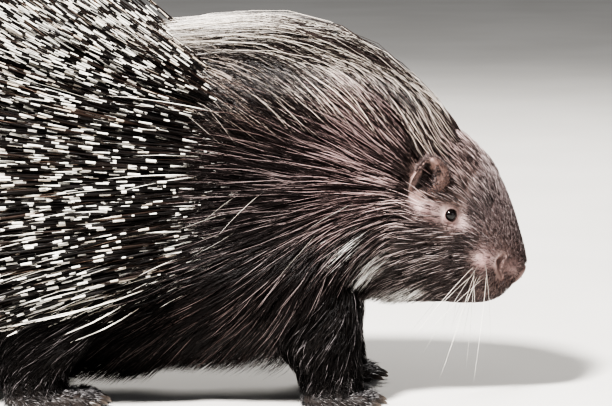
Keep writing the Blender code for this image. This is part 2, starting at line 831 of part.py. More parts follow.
def rattle_quills(rng):
    """Hollow quills of the tail's end, as short stalks that widen and end bluntly."""
    root = Vector(TAIL_ROOT)
    tip = Vector(TAIL_TIP)
    ahead = (tip - root).normalized()
    across = Vector((0, 1, 0))
    upward = across.cross(ahead)
    pieces = []
    for number in range(RATTLE_COUNT):
        turn = 2 * math.pi * 0.618034 * number
        spread = math.sqrt((number + 0.5) / RATTLE_COUNT)
        out = across * math.cos(turn) + upward * math.sin(turn)
        way = (ahead + out * (0.55 * spread)).normalized()
        start = tip - ahead * 0.012 + out * (TAIL_RADIUS * 0.34 * spread)
        length = RATTLE_LENGTH * rng.uniform(0.85, 1.1)
        side = Vector((0, 0, 1)).cross(way).normalized()
        rings = []
        for part, thick in ((0.0, 0.5), (0.5, 0.8), (0.96, 1.0)):
            centre = start + way * (length * part)
            radius = RATTLE_RADIUS * thick
            rings.append(ring_around(centre, side, way.cross(side), radius, radius, 4))
        rings.append([start + way * length])
        pieces.append(rings)
    return [[lambda room, rings=rings: rings] for rings in pieces]


def dress(nodes):
    """Crest, bristle locks and quills on their nodes, front nodes first."""
    rng = np.random.default_rng(SEED)
    fuse_strands(
        nodes, "head", crown_locks(rng) + flank_locks(8, 11.35, 12.1, 1.35, 2.6, 0.055, 0.010, rng)
    )
    neck = crest_locks(SHOULDERS_FRONT + 0.25, NECK_FRONT - 0.25, 3, 6, 0.80, rng)
    neck += flank_locks(30, SHOULDERS_FRONT + 0.2, NECK_FRONT - 0.2, 0.95, 2.75, 0.072, 0.013, rng)
    fuse_strands(nodes, "neck", neck)
    shoulders = crest_locks(CREST_REAR, SHOULDERS_FRONT - 0.3, 3, 6, 0.78, rng)
    shoulders += flank_locks(
        44, TORSO_FRONT + 0.25, SHOULDERS_FRONT - 0.2, 0.85, 2.6, 0.085, 0.015, rng
    )
    fuse_strands(nodes, "shoulders", shoulders)
    torso = quills(QUILL_COUNT, 0.4, TORSO_FRONT - 0.12, rng)
    torso += flank_locks(14, 4.4, TORSO_FRONT - 0.25, 2.05, 2.75, 0.075, 0.014, rng)
    torso += flank_locks(22, 1.6, 5.9, 2.15, 2.65, 0.070, 0.024, rng)
    fuse_strands(nodes, "torso", torso)
    fuse_strands(nodes, "tail", rattle_quills(rng))


def build_tail(materials):
    root = Vector(TAIL_ROOT)
    tip = Vector(TAIL_TIP)
    ahead = (tip - root).normalized()
    across = Vector((0, 1, 0))
    upward = across.cross(ahead)
    rings = []
    for part, thick in ((-0.2, 1.0), (0.0, 1.0), (0.4, 0.85), (0.8, 0.55), (1.0, 0.2)):
        rings.append(
            ring_around(root.lerp(tip, part), across, upward, TAIL_RADIUS * thick, TAIL_RADIUS * thick, 14)
        )
    tail = loft("tail", rings, materials["coat"])
    combine(tail, [trunk_room()], "DIFFERENCE")
    return {"tail": tail}


def main():
    clear_scene()
    porcupine = new_collection("porcupine")
    materials = {
        "coat": new_material("coat", QUILL_BROWN, 0.6),
        "face": new_material("face", FACE_GREY, 0.7),
        "ear": new_material("ear_skin", EAR_PINK, 0.6),
        "eye": new_material("eye_gloss", EYE_BLACK, 0.08),
        "foot": new_material("foot_skin", SKIN_BROWN, 0.7),
        "claw": new_material("claw_horn", CLAW_HORN, 0.45),
    }
    nodes = build_head(materials)
    nodes |= build_trunk(materials)
    nodes |= build_eyes(materials)
    for side, word in ((-1, "right"), (1, "left")):
        nodes["ear_" + word] = build_ear(side, "ear_" + word, materials["ear"])
    for fore, side, x in (
        (True, -1, FORE_NEAR_X),
        (True, 1, FORE_FAR_X),
        (False, -1, HIND_NEAR_X),
        (False, 1, HIND_FAR_X),
    ):
        nodes |= build_leg(fore, side, x, materials)
    nodes |= build_tail(materials)
    dress(nodes)

    frame = bpy.data.objects.new("frame", None)
    frame.location.x = MIDDLE_SHIFT
    porcupine.objects.link(frame)
    for obj in nodes.values():
        obj.parent = frame
        for holder in obj.users_collection:
            holder.objects.unlink(obj)
        porcupine.objects.link(obj)


main()
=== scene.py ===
"""Looks of a life-size Cape porcupine: one skin, and over it bristles, crest, quills and short fur.

Metres, +X forward, +Y the animal's left, +Z up. The body's sections are those of the solids.
"""

import math

import bpy
import numpy as np
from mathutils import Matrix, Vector


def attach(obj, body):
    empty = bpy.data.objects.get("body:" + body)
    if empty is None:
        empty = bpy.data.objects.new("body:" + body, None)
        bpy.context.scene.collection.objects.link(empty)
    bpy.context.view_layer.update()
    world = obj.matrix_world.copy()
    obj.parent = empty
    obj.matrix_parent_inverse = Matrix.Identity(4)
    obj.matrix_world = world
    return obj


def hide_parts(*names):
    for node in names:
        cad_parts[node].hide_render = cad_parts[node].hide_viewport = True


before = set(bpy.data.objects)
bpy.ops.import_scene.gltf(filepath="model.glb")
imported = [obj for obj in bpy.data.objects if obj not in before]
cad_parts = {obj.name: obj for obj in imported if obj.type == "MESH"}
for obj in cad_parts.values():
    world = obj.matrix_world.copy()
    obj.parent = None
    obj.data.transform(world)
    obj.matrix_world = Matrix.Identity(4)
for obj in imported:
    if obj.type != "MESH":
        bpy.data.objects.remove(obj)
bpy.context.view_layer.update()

# Sections of the body from the rump to the muzzle: back x, back z, belly x, belly z, half width.
BODY_SECTIONS = (
    (-0.334, 0.205, -0.334, 0.172, 0.016),
    (-0.322, 0.238, -0.322, 0.142, 0.045),
    (-0.295, 0.268, -0.297, 0.108, 0.072),
    (-0.250, 0.292, -0.255, 0.082, 0.093),
    (-0.190, 0.306, -0.195, 0.066, 0.106),
    (-0.110, 0.314, -0.115, 0.058, 0.112),
    (-0.030, 0.322, -0.035, 0.056, 0.112),
    (0.035, 0.329, 0.025, 0.060, 0.108),
    (0.085, 0.331, 0.068, 0.072, 0.102),
    (0.135, 0.328, 0.100, 0.090, 0.093),
    (0.178, 0.317, 0.131, 0.106, 0.084),
    (0.215, 0.303, 0.160, 0.117, 0.077),
    (0.245, 0.283, 0.184, 0.112, 0.071),
    (0.270, 0.266, 0.208, 0.107, 0.063),
    (0.290, 0.247, 0.232, 0.103, 0.054),
    (0.305, 0.222, 0.254, 0.100, 0.047),
    (0.315, 0.198, 0.273, 0.099, 0.041),
    (0.323, 0.173, 0.289, 0.100, 0.035),
    (0.329, 0.152, 0.302, 0.105, 0.027),
    (0.3315, 0.138, 0.313, 0.116, 0.014),
)
ROUNDNESS = 2.15
# From the sections' own zero to the middle of the whole animal.
MIDDLE_SHIFT = np.array([0.105, 0.0, 0.0])
NECK_FRONT = 11.0
MUZZLE_TIP = len(BODY_SECTIONS) - 1.0
SEED = 23

# The skin lies this far inside the solids' surface: on the trunk, the face and the legs.
TRUNK_COAT_DEPTH = 0.0018
FACE_COAT_DEPTH = 0.0016
LEG_COAT_DEPTH = 0.0040
# Strands start this far below the surface that they grow from: bristles, then quills.
BRISTLE_ROOT = 0.004
QUILL_ROOT = 0.005
# The soles end this far over the floor's level, and the floor lies as far below it.
FLOOR_GAP = 0.0004
# A strand may run this far, in radians, past the line of the back.
CROSS_BACK = 0.09
# On the unwrap: the margin round all the roots, and the width of one tuft's patch.
CHART_MARGIN = 0.02
TUFT_PATCH = 0.003

EYE_RADIUS = 0.0068
EYE_SHOW = 0.0024
EYE_PLACE = (0.2495, 0.1980)
EAR_PLACE = (0.219, 0.236)
EAR_HEIGHT = 0.047
EAR_BACK = 0.0125
EAR_FRONT = 0.031
EAR_DEPTH = 0.0125
NOSTRIL_LINE = ((0.3050, 0.1515), (0.3010, 0.1465), (0.3015, 0.1385), (0.3050, 0.1290))
MOUTH_START = (0.313, 0.0, 0.111)
MOUTH_MIDDLE = (0.293, 0.030, 0.113)
MOUTH_CORNER = (0.262, 0.048, 0.121)

LEG_SPREAD = 0.070
FORE_FOOT_LENGTH = 0.076
HIND_FOOT_LENGTH = 0.098
TOE_RADIUS = 0.0088
# The row of a leg at the ankle, and how far behind its middle the heel is, in its half lengths.
ANKLE_ROW = 4
HEEL_BACK = 0.85
CLAW_LENGTH = 0.013
CLAW_RADIUS = 0.0027
TAIL_ROOT = np.array([-0.312, 0.0, 0.172]) + MIDDLE_SHIFT
TAIL_TIP = np.array([-0.368, 0.0, 0.132]) + MIDDLE_SHIFT
TAIL_RADIUS = 0.027

# Quills, by turn in degrees from the line of the back: rise and splay in degrees, length in
# metres, and the place of the foremost ones.
QUILL_TURNS = (0, 25, 45, 70, 95, 125)
QUILL_RISE = (41, 34, 18, 3, -6, -17)
QUILL_LENGTH = (0.256, 0.224, 0.164, 0.128, 0.108, 0.084)
QUILL_SPLAY = (3, 9, 11, 11, 10, 9)
QUILL_FRONT = (7.00, 7.10, 7.30, 7.35, 7.10, 5.85)
# Shares of that rise and length, by place from the rump.
QUILL_RISE_SHARE = (0.36, 0.42, 0.54, 0.68, 0.80, 0.90, 1.0, 1.0)
QUILL_LENGTH_SHARE = (0.86, 0.88, 0.92, 0.96, 1.0, 1.0, 1.0, 0.98)
# Classes: shortest and longest in metres, pairs of dark and ivory bands, the share of a pair
# that is ivory, and the share of quills with an ivory tip.
QUILL_CLASSES = (
    ("quills_short", 0.0, 0.078, 1, 0.10, 0.10),
    ("quills_side", 0.078, 0.116, 2, 0.17, 0.10),
    ("quills_back", 0.116, 0.168, 3, 0.25, 0.10),
    ("quills_long", 0.168, 1.0, 6, 0.45, 0.40),
)


# Small tools for arrays


def unit(vectors):
    """Vectors divided by their lengths."""
    return vectors / np.maximum(np.linalg.norm(vectors, axis=-1, keepdims=True), 1e-12)


def smooth(low, high, value):
    """0 below low and 1 above high, with a smooth cubic between."""
    part = np.clip((np.asarray(value, float) - low) / (high - low), 0.0, 1.0)
    return part * part * (3 - 2 * part)


def rows_at(rows, place):
    """Catmull-Rom curve through the rows, read at a place counted in rows."""
    rows = np.asarray(rows, float)
    if rows.ndim == 1:
        rows = rows[:, None]
    place = np.clip(np.asarray(place, float), 0.0, len(rows) - 1.0)
    first = np.minimum(place.astype(int), len(rows) - 2)
    part = (place - first)[..., None]
    padded = np.vstack([2 * rows[0] - rows[1], rows, 2 * rows[-1] - rows[-2]])
    a, b, c, d = (padded[first + step] for step in range(4))
    return 0.5 * (
        2 * b
        + (c - a) * part
        + (2 * a - 5 * b + 4 * c - d) * part**2
        + (3 * b - a - 3 * c + d) * part**3
    )


def from_back(turn):
    """Degrees from the line of the back, on either side."""
    return np.degrees(np.abs(turn))


def soft_spot(points, centre, size):
    """Gaussian of the distance to a centre, each axis divided by its own size."""
    return np.exp(-(((points - np.asarray(centre)) / np.asarray(size)) ** 2).sum(-1))


def line_distance(points, line):
    """Distance from each point to a chain of straight runs, and the share of the chain nearest."""
    line = np.asarray(line, float)
    best = np.full(points.shape[:-1], 1e9)
    share = np.zeros(points.shape[:-1])
    for number, (start, end) in enumerate(zip(line[:-1], line[1:])):
        run = end - start
        part = np.clip(((points - start) @ run) / (run @ run), 0.0, 1.0)
        away = np.linalg.norm(points - start - part[..., None] * run, axis=-1)
        share = np.where(away < best, (number + part) / (len(line) - 1), share)
        best = np.minimum(best, away)
    return best, share


# The body's surface


def body_point(place, turn):
    """Superellipse about the middle of back and belly point, at a turn from the back to the right."""
    row = rows_at(BODY_SECTIONS, place)
    back = np.stack([row[..., 0], 0 * row[..., 0], row[..., 1]], axis=-1)
    belly = np.stack([row[..., 2], 0 * row[..., 0], row[..., 3]], axis=-1)
    rise = (back - belly) / 2
    high = np.linalg.norm(rise, axis=-1)[..., None]
    wide = row[..., 4][..., None]
    power = 2 / ROUNDNESS
    upward = (np.sign(np.cos(turn)) * np.abs(np.cos(turn)) ** power)[..., None]
    outward = (np.sign(np.sin(turn)) * np.abs(np.sin(turn)) ** power)[..., None]
    right = np.array([0.0, -1.0, 0.0])
    middle = (back + belly) / 2 + MIDDLE_SHIFT
    return middle + rise / high * upward * high + right * outward * wide


def body_frame(place, turn):
    """Point, outward normal, and the surface's change per place and per radian of turn."""
    step = 0.02
    along = (body_point(place + step, turn) - body_point(place - step, turn)) / (2 * step)
    around = (body_point(place, turn + step) - body_point(place, turn - step)) / (2 * step)
    return body_point(place, turn), unit(np.cross(around, along)), along, around


def face_place(x, z):
    """Place and turn, on the right side of the head, of the point at this x and z."""
    place, turn = np.meshgrid(
        np.linspace(NECK_FRONT, MUZZLE_TIP, 401), np.linspace(0.1, 2.8, 271), indexing="ij"
    )
    points = body_point(place, turn) - MIDDLE_SHIFT
    miss = (points[..., 0] - x) ** 2 + (points[..., 2] - z) ** 2
    best = np.unravel_index(np.argmin(miss), miss.shape)
    return place[best], turn[best]


def face_point(x, z):
    """Point and normal on the right side of the head at this x and z."""
    place, turn = face_place(x, z)
    point, normal, _, _ = body_frame(np.array(place), np.array(turn))
    return point, normal


EYE_POINT, EYE_NORMAL = face_point(*EYE_PLACE)
EYE_CENTRE = EYE_POINT - EYE_NORMAL * (EYE_RADIUS - EYE_SHOW)
EAR_POINT = face_point(*EAR_PLACE)[0]
NOSTRIL_POINTS = np.array([face_point(x, z)[0] for x, z in NOSTRIL_LINE])
PAD_CENTRE = face_point(0.284, 0.150)[0]
FOLD_CENTRE = face_point(0.217, 0.213)[0]
FAN_CENTRE = face_point(0.231, 0.201)[0]
CHEEK_CENTRE = face_point(0.243, 0.150)[0]
NOSE_CENTRE = face_point(0.3175, 0.138)[0]
MOUTH_POINTS = np.array(
    [
        np.array(MOUTH_START) * (1 - part) ** 2
        + np.array(MOUTH_MIDDLE) * np.array([1, -1, 1]) * 2 * part * (1 - part)
        + np.array(MOUTH_CORNER) * np.array([1, -1, 1]) * part**2
        + MIDDLE_SHIFT
        for part in np.linspace(0, 1, 7)
    ]
)


def right_side(points):
    """The points mirrored to the animal's right side."""
    return points * np.array([1.0, 0.0, 1.0]) - np.abs(points) * np.array([0.0, 1.0, 0.0])


def relief(points, fine=True):
    """How far the skin stands out of the plain body: pads, and if fine also folds and grooves."""
    here = right_side(points)
    forward = points[..., 0] - MIDDLE_SHIFT[0]
    on_face = smooth(0.17, 0.24, forward)
    out = -TRUNK_COAT_DEPTH + (TRUNK_COAT_DEPTH - FACE_COAT_DEPTH) * on_face
    out += 0.0024 * soft_spot(here, PAD_CENTRE, (0.011, 0.014, 0.012))
    out += 0.0022 * soft_spot(here, CHEEK_CENTRE, (0.024, 0.03, 0.020))
    out += 0.0016 * soft_spot(here, NOSE_CENTRE, (0.008, 0.010, 0.009))
    if not fine:
        return out

    eye_away = np.linalg.norm(here - EYE_CENTRE, axis=-1)
    out += 0.0017 * soft_spot(here, EYE_CENTRE + np.array([-0.002, 0, 0.015]), (0.012, 0.02, 0.006))
    out += 0.0012 * soft_spot(here, EYE_CENTRE + np.array([-0.001, 0, -0.014]), (0.010, 0.02, 0.005))
    out -= 0.0010 * np.exp(-((eye_away / 0.0095) ** 2))
    ring = np.exp(-(((eye_away - 0.0125) / 0.0045) ** 2))
    out += 0.00030 * ring * np.sin(eye_away * (2 * math.pi / 0.0026)) * on_face

    gap = here - FAN_CENTRE
    reach = np.hypot(gap[..., 0], gap[..., 2])
    angle = np.degrees(np.arctan2(gap[..., 2], -gap[..., 0]))
    fan = smooth(0.006, 0.012, reach) * smooth(0.040, 0.026, reach)
    fan = fan * smooth(-42, -18, angle) * smooth(88, 62, angle) * on_face
    wander = 5.0 * np.sin(reach * 420) + 3.0 * np.sin(reach * 190 + 1.0)
    out += 0.00115 * fan * np.sin(np.radians((angle + wander) * 34.0))

    away, share = line_distance(here, NOSTRIL_POINTS)
    deep = 0.0062 * np.exp(-(((share - 0.30) / 0.26) ** 2)) + 0.0016
    wide = 0.0012 + 0.0014 * np.exp(-(((share - 0.30) / 0.24) ** 2))
    out -= deep * np.exp(-((away / wide) ** 2))
    out += 0.0013 * np.exp(-(((away - 0.0042) / 0.0018) ** 2)) * smooth(1.0, 0.6, share)

    away, share = line_distance(here, MOUTH_POINTS)
    out -= 0.0030 * np.exp(-((away / 0.0013) ** 2))
    out += 0.0011 * np.exp(-(((away - 0.0040) / 0.0022) ** 2))

    cleft = np.abs(points[..., 1]) / 0.0012
    below_nose = smooth(0.298, 0.306, forward) * smooth(0.136, 0.128, points[..., 2])
    out -= 0.0018 * np.exp(-(cleft**2)) * below_nose
    return out


# Markings by strength, x and z on the sections, and size along x and z.
PALE_SPOTS = (
    (1.3, 0.185, 0.154, 0.010, 0.013),
    (1.0, 0.172, 0.188, 0.008, 0.012),
    (1.3, 0.212, 0.116, 0.018, 0.009),
)
WARM_SPOTS = (
    (1.0, 0.070, 0.292, 0.060, 0.050),
    (1.0, 0.318, 0.124, 0.028, 0.040),
    (0.45, 0.246, 0.243, 0.016, 0.018),
    (0.90, 0.030, 0.110, 0.095, 0.042),
)
# Lighter spots: on the neck a painted sheen of sunlit bristles, on the brow lighter hair.
SHEEN_AND_ASHEN_SPOTS = (
    (1.0, 0.185, 0.245, 0.055, 0.062),
    (0.5, 0.262, 0.255, 0.026, 0.030),
)
# Bare rosy skin by strength, the point that it is set from, the offset from it, and size.
ROSY_SPOTS = (
    (1.05, EYE_CENTRE, (0.018, 0.006, -0.012), (0.015, 0.03, 0.011)),
    (0.62, EYE_CENTRE, (-0.009, 0.0, 0.002), (0.012, 0.03, 0.009)),
    (1.20, FOLD_CENTRE, (0.004, 0.0, 0.0), (0.014, 0.03, 0.014)),
    (1.05, PAD_CENTRE, (0.0, 0.0, 0.0), (0.012, 0.02, 0.013)),
    (0.30, NOSE_CENTRE, (0.0, 0.0, 0.0), (0.012, 0.03, 0.012)),
)


def marks(points):
    """Markings that skin and coat share, each a sum of soft spots, cut off at 1.

    The face is grey, from a slanting line on. The throat is pale, the withers, brow, lip and
    flank warm brown, the neck lighter by painted sheen of sunlit bristles and the brow by its
    lighter hair, and the skin rosy where it is bare.
    """
    here = right_side(points) - MIDDLE_SHIFT
    level = here * np.array([1.0, 0.0, 1.0])
    found = {"grey": smooth(0.185, 0.245, here[..., 0] + 0.30 * (here[..., 2] - 0.20))}
    for name, spots in (("pale", PALE_SPOTS), ("warm", WARM_SPOTS), ("sheen_and_ashen", SHEEN_AND_ASHEN_SPOTS)):
        total = sum(
            strength * soft_spot(level, (x, 0.0, z), (long, 1.0, high))
            for strength, x, z, long, high in spots
        )
        found[name] = np.clip(total, 0, 1)
    rosy = sum(
        strength * soft_spot(here, centre - MIDDLE_SHIFT + np.array(offset), size)
        for strength, centre, offset, size in ROSY_SPOTS
    )
    found["rosy"] = np.clip(rosy, 0, 1)
    return found


# Meshes from arrays


def new_piece(name, materials=()):
    """An empty mesh object with these materials, at the origin."""
    mesh = bpy.data.meshes.new(name)
    for material in materials:
        mesh.materials.append(material)
    piece = bpy.data.objects.new(name, mesh)
    bpy.context.scene.collection.objects.link(piece)
    return piece


def grid_faces(rows, columns):
    """Quads of a grid of rows by columns points, whose columns close into a ring."""
    index = np.arange(rows * columns).reshape(rows, columns)
    after = np.roll(index, -1, axis=1)
    return np.stack([index[:-1], after[:-1], after[1:], index[1:]], axis=-1).reshape(-1, 4)


def closed_tube(rings, ends):
    """Points, quads and triangles of a tube of rings, with each end drawn to its own point."""
    rows, columns, _ = rings.shape
    points = np.vstack([rings.reshape(-1, 3), np.asarray(ends, float)])
    quads = grid_faces(rows, columns)
    first = np.arange(columns)
    last = first + (rows - 1) * columns
    near = np.stack([np.full(columns, rows * columns), np.roll(first, -1), first], axis=-1)
    far = np.stack([np.full(columns, rows * columns + 1), last, np.roll(last, -1)], axis=-1)
    return points, quads, np.vstack([near, far])


def outward(points, quads, triangles):
    """The same faces, turned round if together they enclose a negative volume."""
    every = np.vstack([quads[:, :3], quads[:, [0, 2, 3]], triangles])
    a, b, c = (points[every[:, step]] for step in range(3))
    if np.einsum("ij,ij->i", a, np.cross(b, c)).sum() < 0:
        return quads[:, ::-1], triangles[:, ::-1]
    return quads, triangles


def set_faces(mesh, points, quads, triangles):
    """Fills the mesh with these points, quads first and then triangles."""
    corners = np.concatenate([quads.ravel(), triangles.ravel()]).astype(np.int32)
    starts = np.concatenate(
        [np.arange(len(quads)) * 4, len(quads) * 4 + np.arange(len(triangles)) * 3]
    ).astype(np.int32)
    mesh.vertices.add(len(points))
    mesh.vertices.foreach_set("co", points.astype(np.float32).ravel())
    mesh.loops.add(len(corners))
    mesh.loops.foreach_set("vertex_index", corners)
    mesh.polygons.add(len(starts))
    mesh.polygons.foreach_set("loop_start", starts)
    mesh.update(calc_edges=True)
    mesh.shade_smooth()
    return corners


def closed_piece(name, shape, materials=()):
    """A piece of a shape's points, quads and triangles, its faces turned outwards."""
    piece = new_piece(name, materials)
    points, quads, triangles = shape
    quads, triangles = outward(points, quads, triangles)
    set_faces(piece.data, points, quads, triangles)
    return piece


def mesh_points(mesh, what="co"):
    """The mesh's points as rows of three, or its normals where what is normal."""
    flat = np.empty(len(mesh.vertices) * 3, np.float32)
    mesh.vertices.foreach_get(what, flat)
    return flat.reshape(-1, 3).astype(float)


def set_values(mesh, values):
    """Stores each named array of numbers on the mesh's points."""
    for name, array in values.items():
        layer = mesh.attributes.new(name, "FLOAT", "POINT")
        layer.data.foreach_set("value", np.asarray(array, np.float32).ravel())


def strand_piece(
    name, paths, normals, radii, chart, materials, lots, sides=3, slots=None, extra=None
):
    """Tapered strands: a ring of sides about each path point, and one point at the tip.

    paths holds (strand, step, 3), radii (strand, step). Each ring is a circle across the path.
    chart is each root's place on the unwrap, lots a random share for each strand's own shade.
    slots gives each run between two rings a material.
    """
    count, steps, _ = paths.shape
    rings = steps - 1
    ahead = unit(np.gradient(paths, axis=1))
    middle_way = unit(paths[:, -1] - paths[:, 0])
    along_normal = np.abs((middle_way * normals).sum(-1)) > 0.93
    reference = np.where(along_normal[:, None], np.array([0.0, 1.0, 0.0]), normals)
    across = unit(np.cross(ahead, reference[:, None, :]))
    upward = np.cross(across, ahead)
    turns = 2 * math.pi * np.arange(sides) / sides
    rim = (
        np.cos(turns)[None, None, :, None] * across[:, :rings, None, :]
        + np.sin(turns)[None, None, :, None] * upward[:, :rings, None, :]
    )
    bodies = paths[:, :rings, None, :] + rim * radii[:, :rings, None, None]
    points = np.concatenate([bodies.reshape(count, rings * sides, 3), paths[:, -1:]], axis=1)
    per = rings * sides + 1

    index = np.arange(rings * sides).reshape(rings, sides)
    after = np.roll(index, -1, axis=1)
    quads = np.stack([index[:-1], index[1:], after[1:], after[:-1]], axis=-1).reshape(-1, 4)
    tips = np.stack([index[-1], np.full(sides, per - 1), after[-1]], axis=-1)
    caps = np.stack([np.zeros(sides - 2, int), index[0, 1:-1], index[0, 2:]], axis=-1)
    triangles = np.vstack([tips, caps])
    shift = (np.arange(count) * per)[:, None, None]
    all_quads = (quads[None] + shift).reshape(-1, 4)
    all_triangles = (triangles[None] + shift).reshape(-1, 3)
    flat_points = points.reshape(-1, 3)
    all_quads, all_triangles = outward(flat_points, all_quads, all_triangles)

    piece = new_piece(name, materials)
    corners = set_faces(piece.data, flat_points, all_quads, all_triangles)
    share = np.concatenate([np.repeat(np.linspace(0, 1, steps)[:rings], sides), [1.0]])
    values = {
        "along": np.tile(share, count),
        "lot": np.repeat(lots, per),
    }
    for key, array in (extra or {}).items():
        values[key] = np.repeat(array, per)
    set_values(piece.data, values)

    side_share = np.concatenate([np.tile(np.arange(sides) / sides, rings), [0.5]])
    patch = TUFT_PATCH * (np.stack([side_share, share], axis=-1) - 0.5)
    uv = (chart[:, None, :] + patch[None]).reshape(-1, 2)
    if slots is not None:
        walls = np.repeat(slots[:, : rings - 1], sides, axis=1)
        tips_and_caps = np.repeat(slots[:, [rings - 1, 0]], (sides, sides - 2), axis=1)
        band = np.concatenate([walls.ravel(), tips_and_caps.ravel()]).astype(np.int32)
        piece.data.polygons.foreach_set("material_index", band)
        totals = np.where(np.arange(len(band)) < len(all_quads), 4, 3)
        corner_band = np.repeat(band, totals)
    layer = piece.data.uv_layers.new(name="OFBake")
    corner_uv = uv[corners]
    # With two materials, each has its own half of the unwrap.
    if slots is not None:
        corner_uv = corner_uv * np.array([1.0, 0.5])
        corner_uv[:, 1] += 0.5 * corner_band
    layer.data.foreach_set("uv", corner_uv.astype(np.float32).ravel())
    return piece


def chart_of(across, up):
    """Places on the unwrap of two shares from 0 to 1, drawn in by the margin on all sides."""
    return CHART_MARGIN + (1 - 2 * CHART_MARGIN) * np.stack([across, up], axis=-1)


def body_chart(place, turn):
    """Place of a root on the body's unwrap: along the body, and round it."""
    return chart_of(place / MUZZLE_TIP, (np.asarray(turn) + math.pi) / (2 * math.pi) % 1.0)


# Lie of the coat


def coat_drift(place, turn):
    """Angle from straight back towards the belly: steep over the shoulder, straight down at the lip."""
    degrees = from_back(turn)
    rear = np.interp(degrees, (20, 60, 90, 120, 150, 180), (-10, -6, 8, 26, 38, 20))
    shoulder = np.interp(degrees, (20, 55, 78, 95, 120, 150, 180), (-26, -28, -10, 12, 44, 58, 40))
    head = np.interp(degrees, (20, 60, 90, 120, 150, 180), (0, -6, 14, 32, 36, 10))
    over = smooth(5.5, 8.5, place)
    front = smooth(10.4, 13.0, place)
    drift = (rear * (1 - over) + shoulder * over) * (1 - front) + head * front
    lip = smooth(15.9, 17.0, place) * smooth(72, 100, degrees)
    return np.radians(drift * (1 - lip) + 82 * lip)


def lie_along(place, turn, length, heights, shares, lean, drift=coat_drift):
    """Paths that follow the lie of the coat over the body, step by step, at given heights.

    Each step goes back by its length over the surface's own scale. lean turns a whole strand.
    """
    side = np.sign(turn)
    here, at = place.copy(), turn.copy()
    paths = []
    for number, share in enumerate(shares):
        point, normal, along, around = body_frame(here, at)
        if number == 0:
            first_normal = normal
        height = heights[:, number] + relief(point, fine=False) + TRUNK_COAT_DEPTH
        paths.append(point + normal * height[:, None])
        if number + 1 < len(shares):
            step = (shares[number + 1] - share) * length
            way = drift(here, at) + lean
            here = here - step * np.cos(way) / np.linalg.norm(along, axis=-1)
            at = at + side * step * np.sin(way) / np.linalg.norm(around, axis=-1)
            here = np.clip(here, 0.05, MUZZLE_TIP)
            at = side * np.maximum(at * side, -CROSS_BACK)
    return np.stack(paths, axis=1), first_normal


def scattered(count, low, high, first_turn, last_turn, rng, density=None):
    """Places and turns spread evenly over the skin's area, thinned by a density of 0 to 1."""
    found_place, found_turn, total = [], [], 0
    largest = None
    while total < count:
        place = rng.uniform(low, high, count * 2)
        turn = rng.uniform(first_turn, last_turn, count * 2) * rng.choice((-1.0, 1.0), count * 2)
        _, _, along, around = body_frame(place, turn)
        area = np.linalg.norm(np.cross(along, around), axis=-1)
        largest = area.max() if largest is None else largest
        keep = rng.random(count * 2) * largest < area * (
            1.0 if density is None else density(place, turn)
        )
        found_place.append(place[keep])
        found_turn.append(turn[keep])
        total += keep.sum()
    return np.concatenate(found_place)[:count], np.concatenate(found_turn)[:count]


def clumped(paths, shares, count, pull, rng):
    """Draws each strand's tip towards the strand at the heart of its clump.

    Every strand belongs to the nearest of count random ones, and moves by the difference
    of their roots, more towards the tip. It also gives each strand its clump's number.
    """
    roots = paths[:, 0]
    hearts = roots[rng.choice(len(roots), min(count, len(roots)), replace=False)]
    nearest = np.empty(len(roots), int)
    for start in range(0, len(roots), 2000):
        gap = roots[start : start + 2000, None, :] - hearts[None]
        nearest[start : start + 2000] = (gap**2).sum(-1).argmin(axis=1)
    offset = hearts[nearest] - roots
    strength = pull * np.asarray(shares) ** 1.3
    return paths + offset[:, None, :] * strength[None, :, None], nearest


def taper(profile, radius):
    """Radii of all strands: the shares of one profile times each strand's own radius."""
    return np.asarray(profile)[None, :] * radius[:, None]


def along_way(way, shares, length):
    """Each strand's way, times its length, at each of the shares."""
    return way[:, None] * (shares * length[:, None])[..., None]


def unmarked(count, warm=0.0):
    """Values of strands without pale or high hairs, as warm in colour as given."""
    return {"pale": np.zeros(count), "warm": np.zeros(count) + warm, "high": np.zeros(count)}


# Materials


def add_node(tree, kind, inputs=None, **settings):
    """A node with its settings, and each input linked to a socket or set to a value."""
    made = tree.nodes.new(kind)
    for name, value in settings.items():
        setattr(made, name, value)
    for name, value in (inputs or {}).items():
        if isinstance(value, bpy.types.NodeSocket):
            tree.links.new(value, made.inputs[name])
        else:
            made.inputs[name].default_value = value
    return made


def colour_mix(tree, factor, first, second, blend="MIX"):
    """The first colour, blended with the second by the factor."""
    made = add_node(
        tree, "ShaderNodeMix", {0: factor, 6: first, 7: second}, data_type="RGBA", blend_type=blend
    )
    return made.outputs[2]


def stepped(tree, value, low, high, to_low=0.0, to_high=1.0):
    """A smooth step of the value from low to high."""
    made = add_node(
        tree,
        "ShaderNodeMapRange",
        {"Value": value, "From Min": low, "From Max": high, "To Min": to_low, "To Max": to_high},
        interpolation_type="SMOOTHSTEP",
    )
    return made.outputs["Result"]


def attribute(tree, name):
    """A value stored on the mesh's points."""
    return add_node(tree, "ShaderNodeAttribute", attribute_name=name).outputs["Fac"]


def reckon(tree, operation, *values):
    """One sum, product or comparison of the values."""
    return add_node(tree, "ShaderNodeMath", dict(enumerate(values)), operation=operation).outputs[0]


def noise_on(tree, scale):
    """Noise over the piece's own coordinates, with this many cells to a metre."""
    place = add_node(tree, "ShaderNodeTexCoord").outputs["Object"]
    made = add_node(tree, "ShaderNodeTexNoise", {"Vector": place, "Scale": scale, "Detail": 2.0})
    return made.outputs[0]


def shaded(tree, colour, shade):
    """The colour times one grey value."""
    grey = add_node(tree, "ShaderNodeCombineColor", {0: shade, 1: shade, 2: shade})
    return colour_mix(tree, 1.0, colour, grey.outputs[0], "MULTIPLY")


def new_material(name, roughness, specular=0.5):
    """A material, its node tree and its shader."""
    made = bpy.data.materials.new(name)
    made.use_nodes = True
    shader = made.node_tree.nodes["Principled BSDF"]
    shader.inputs["Roughness"].default_value = roughness
    shader.inputs["Specular IOR Level"].default_value = specular
    return made, made.node_tree, shader


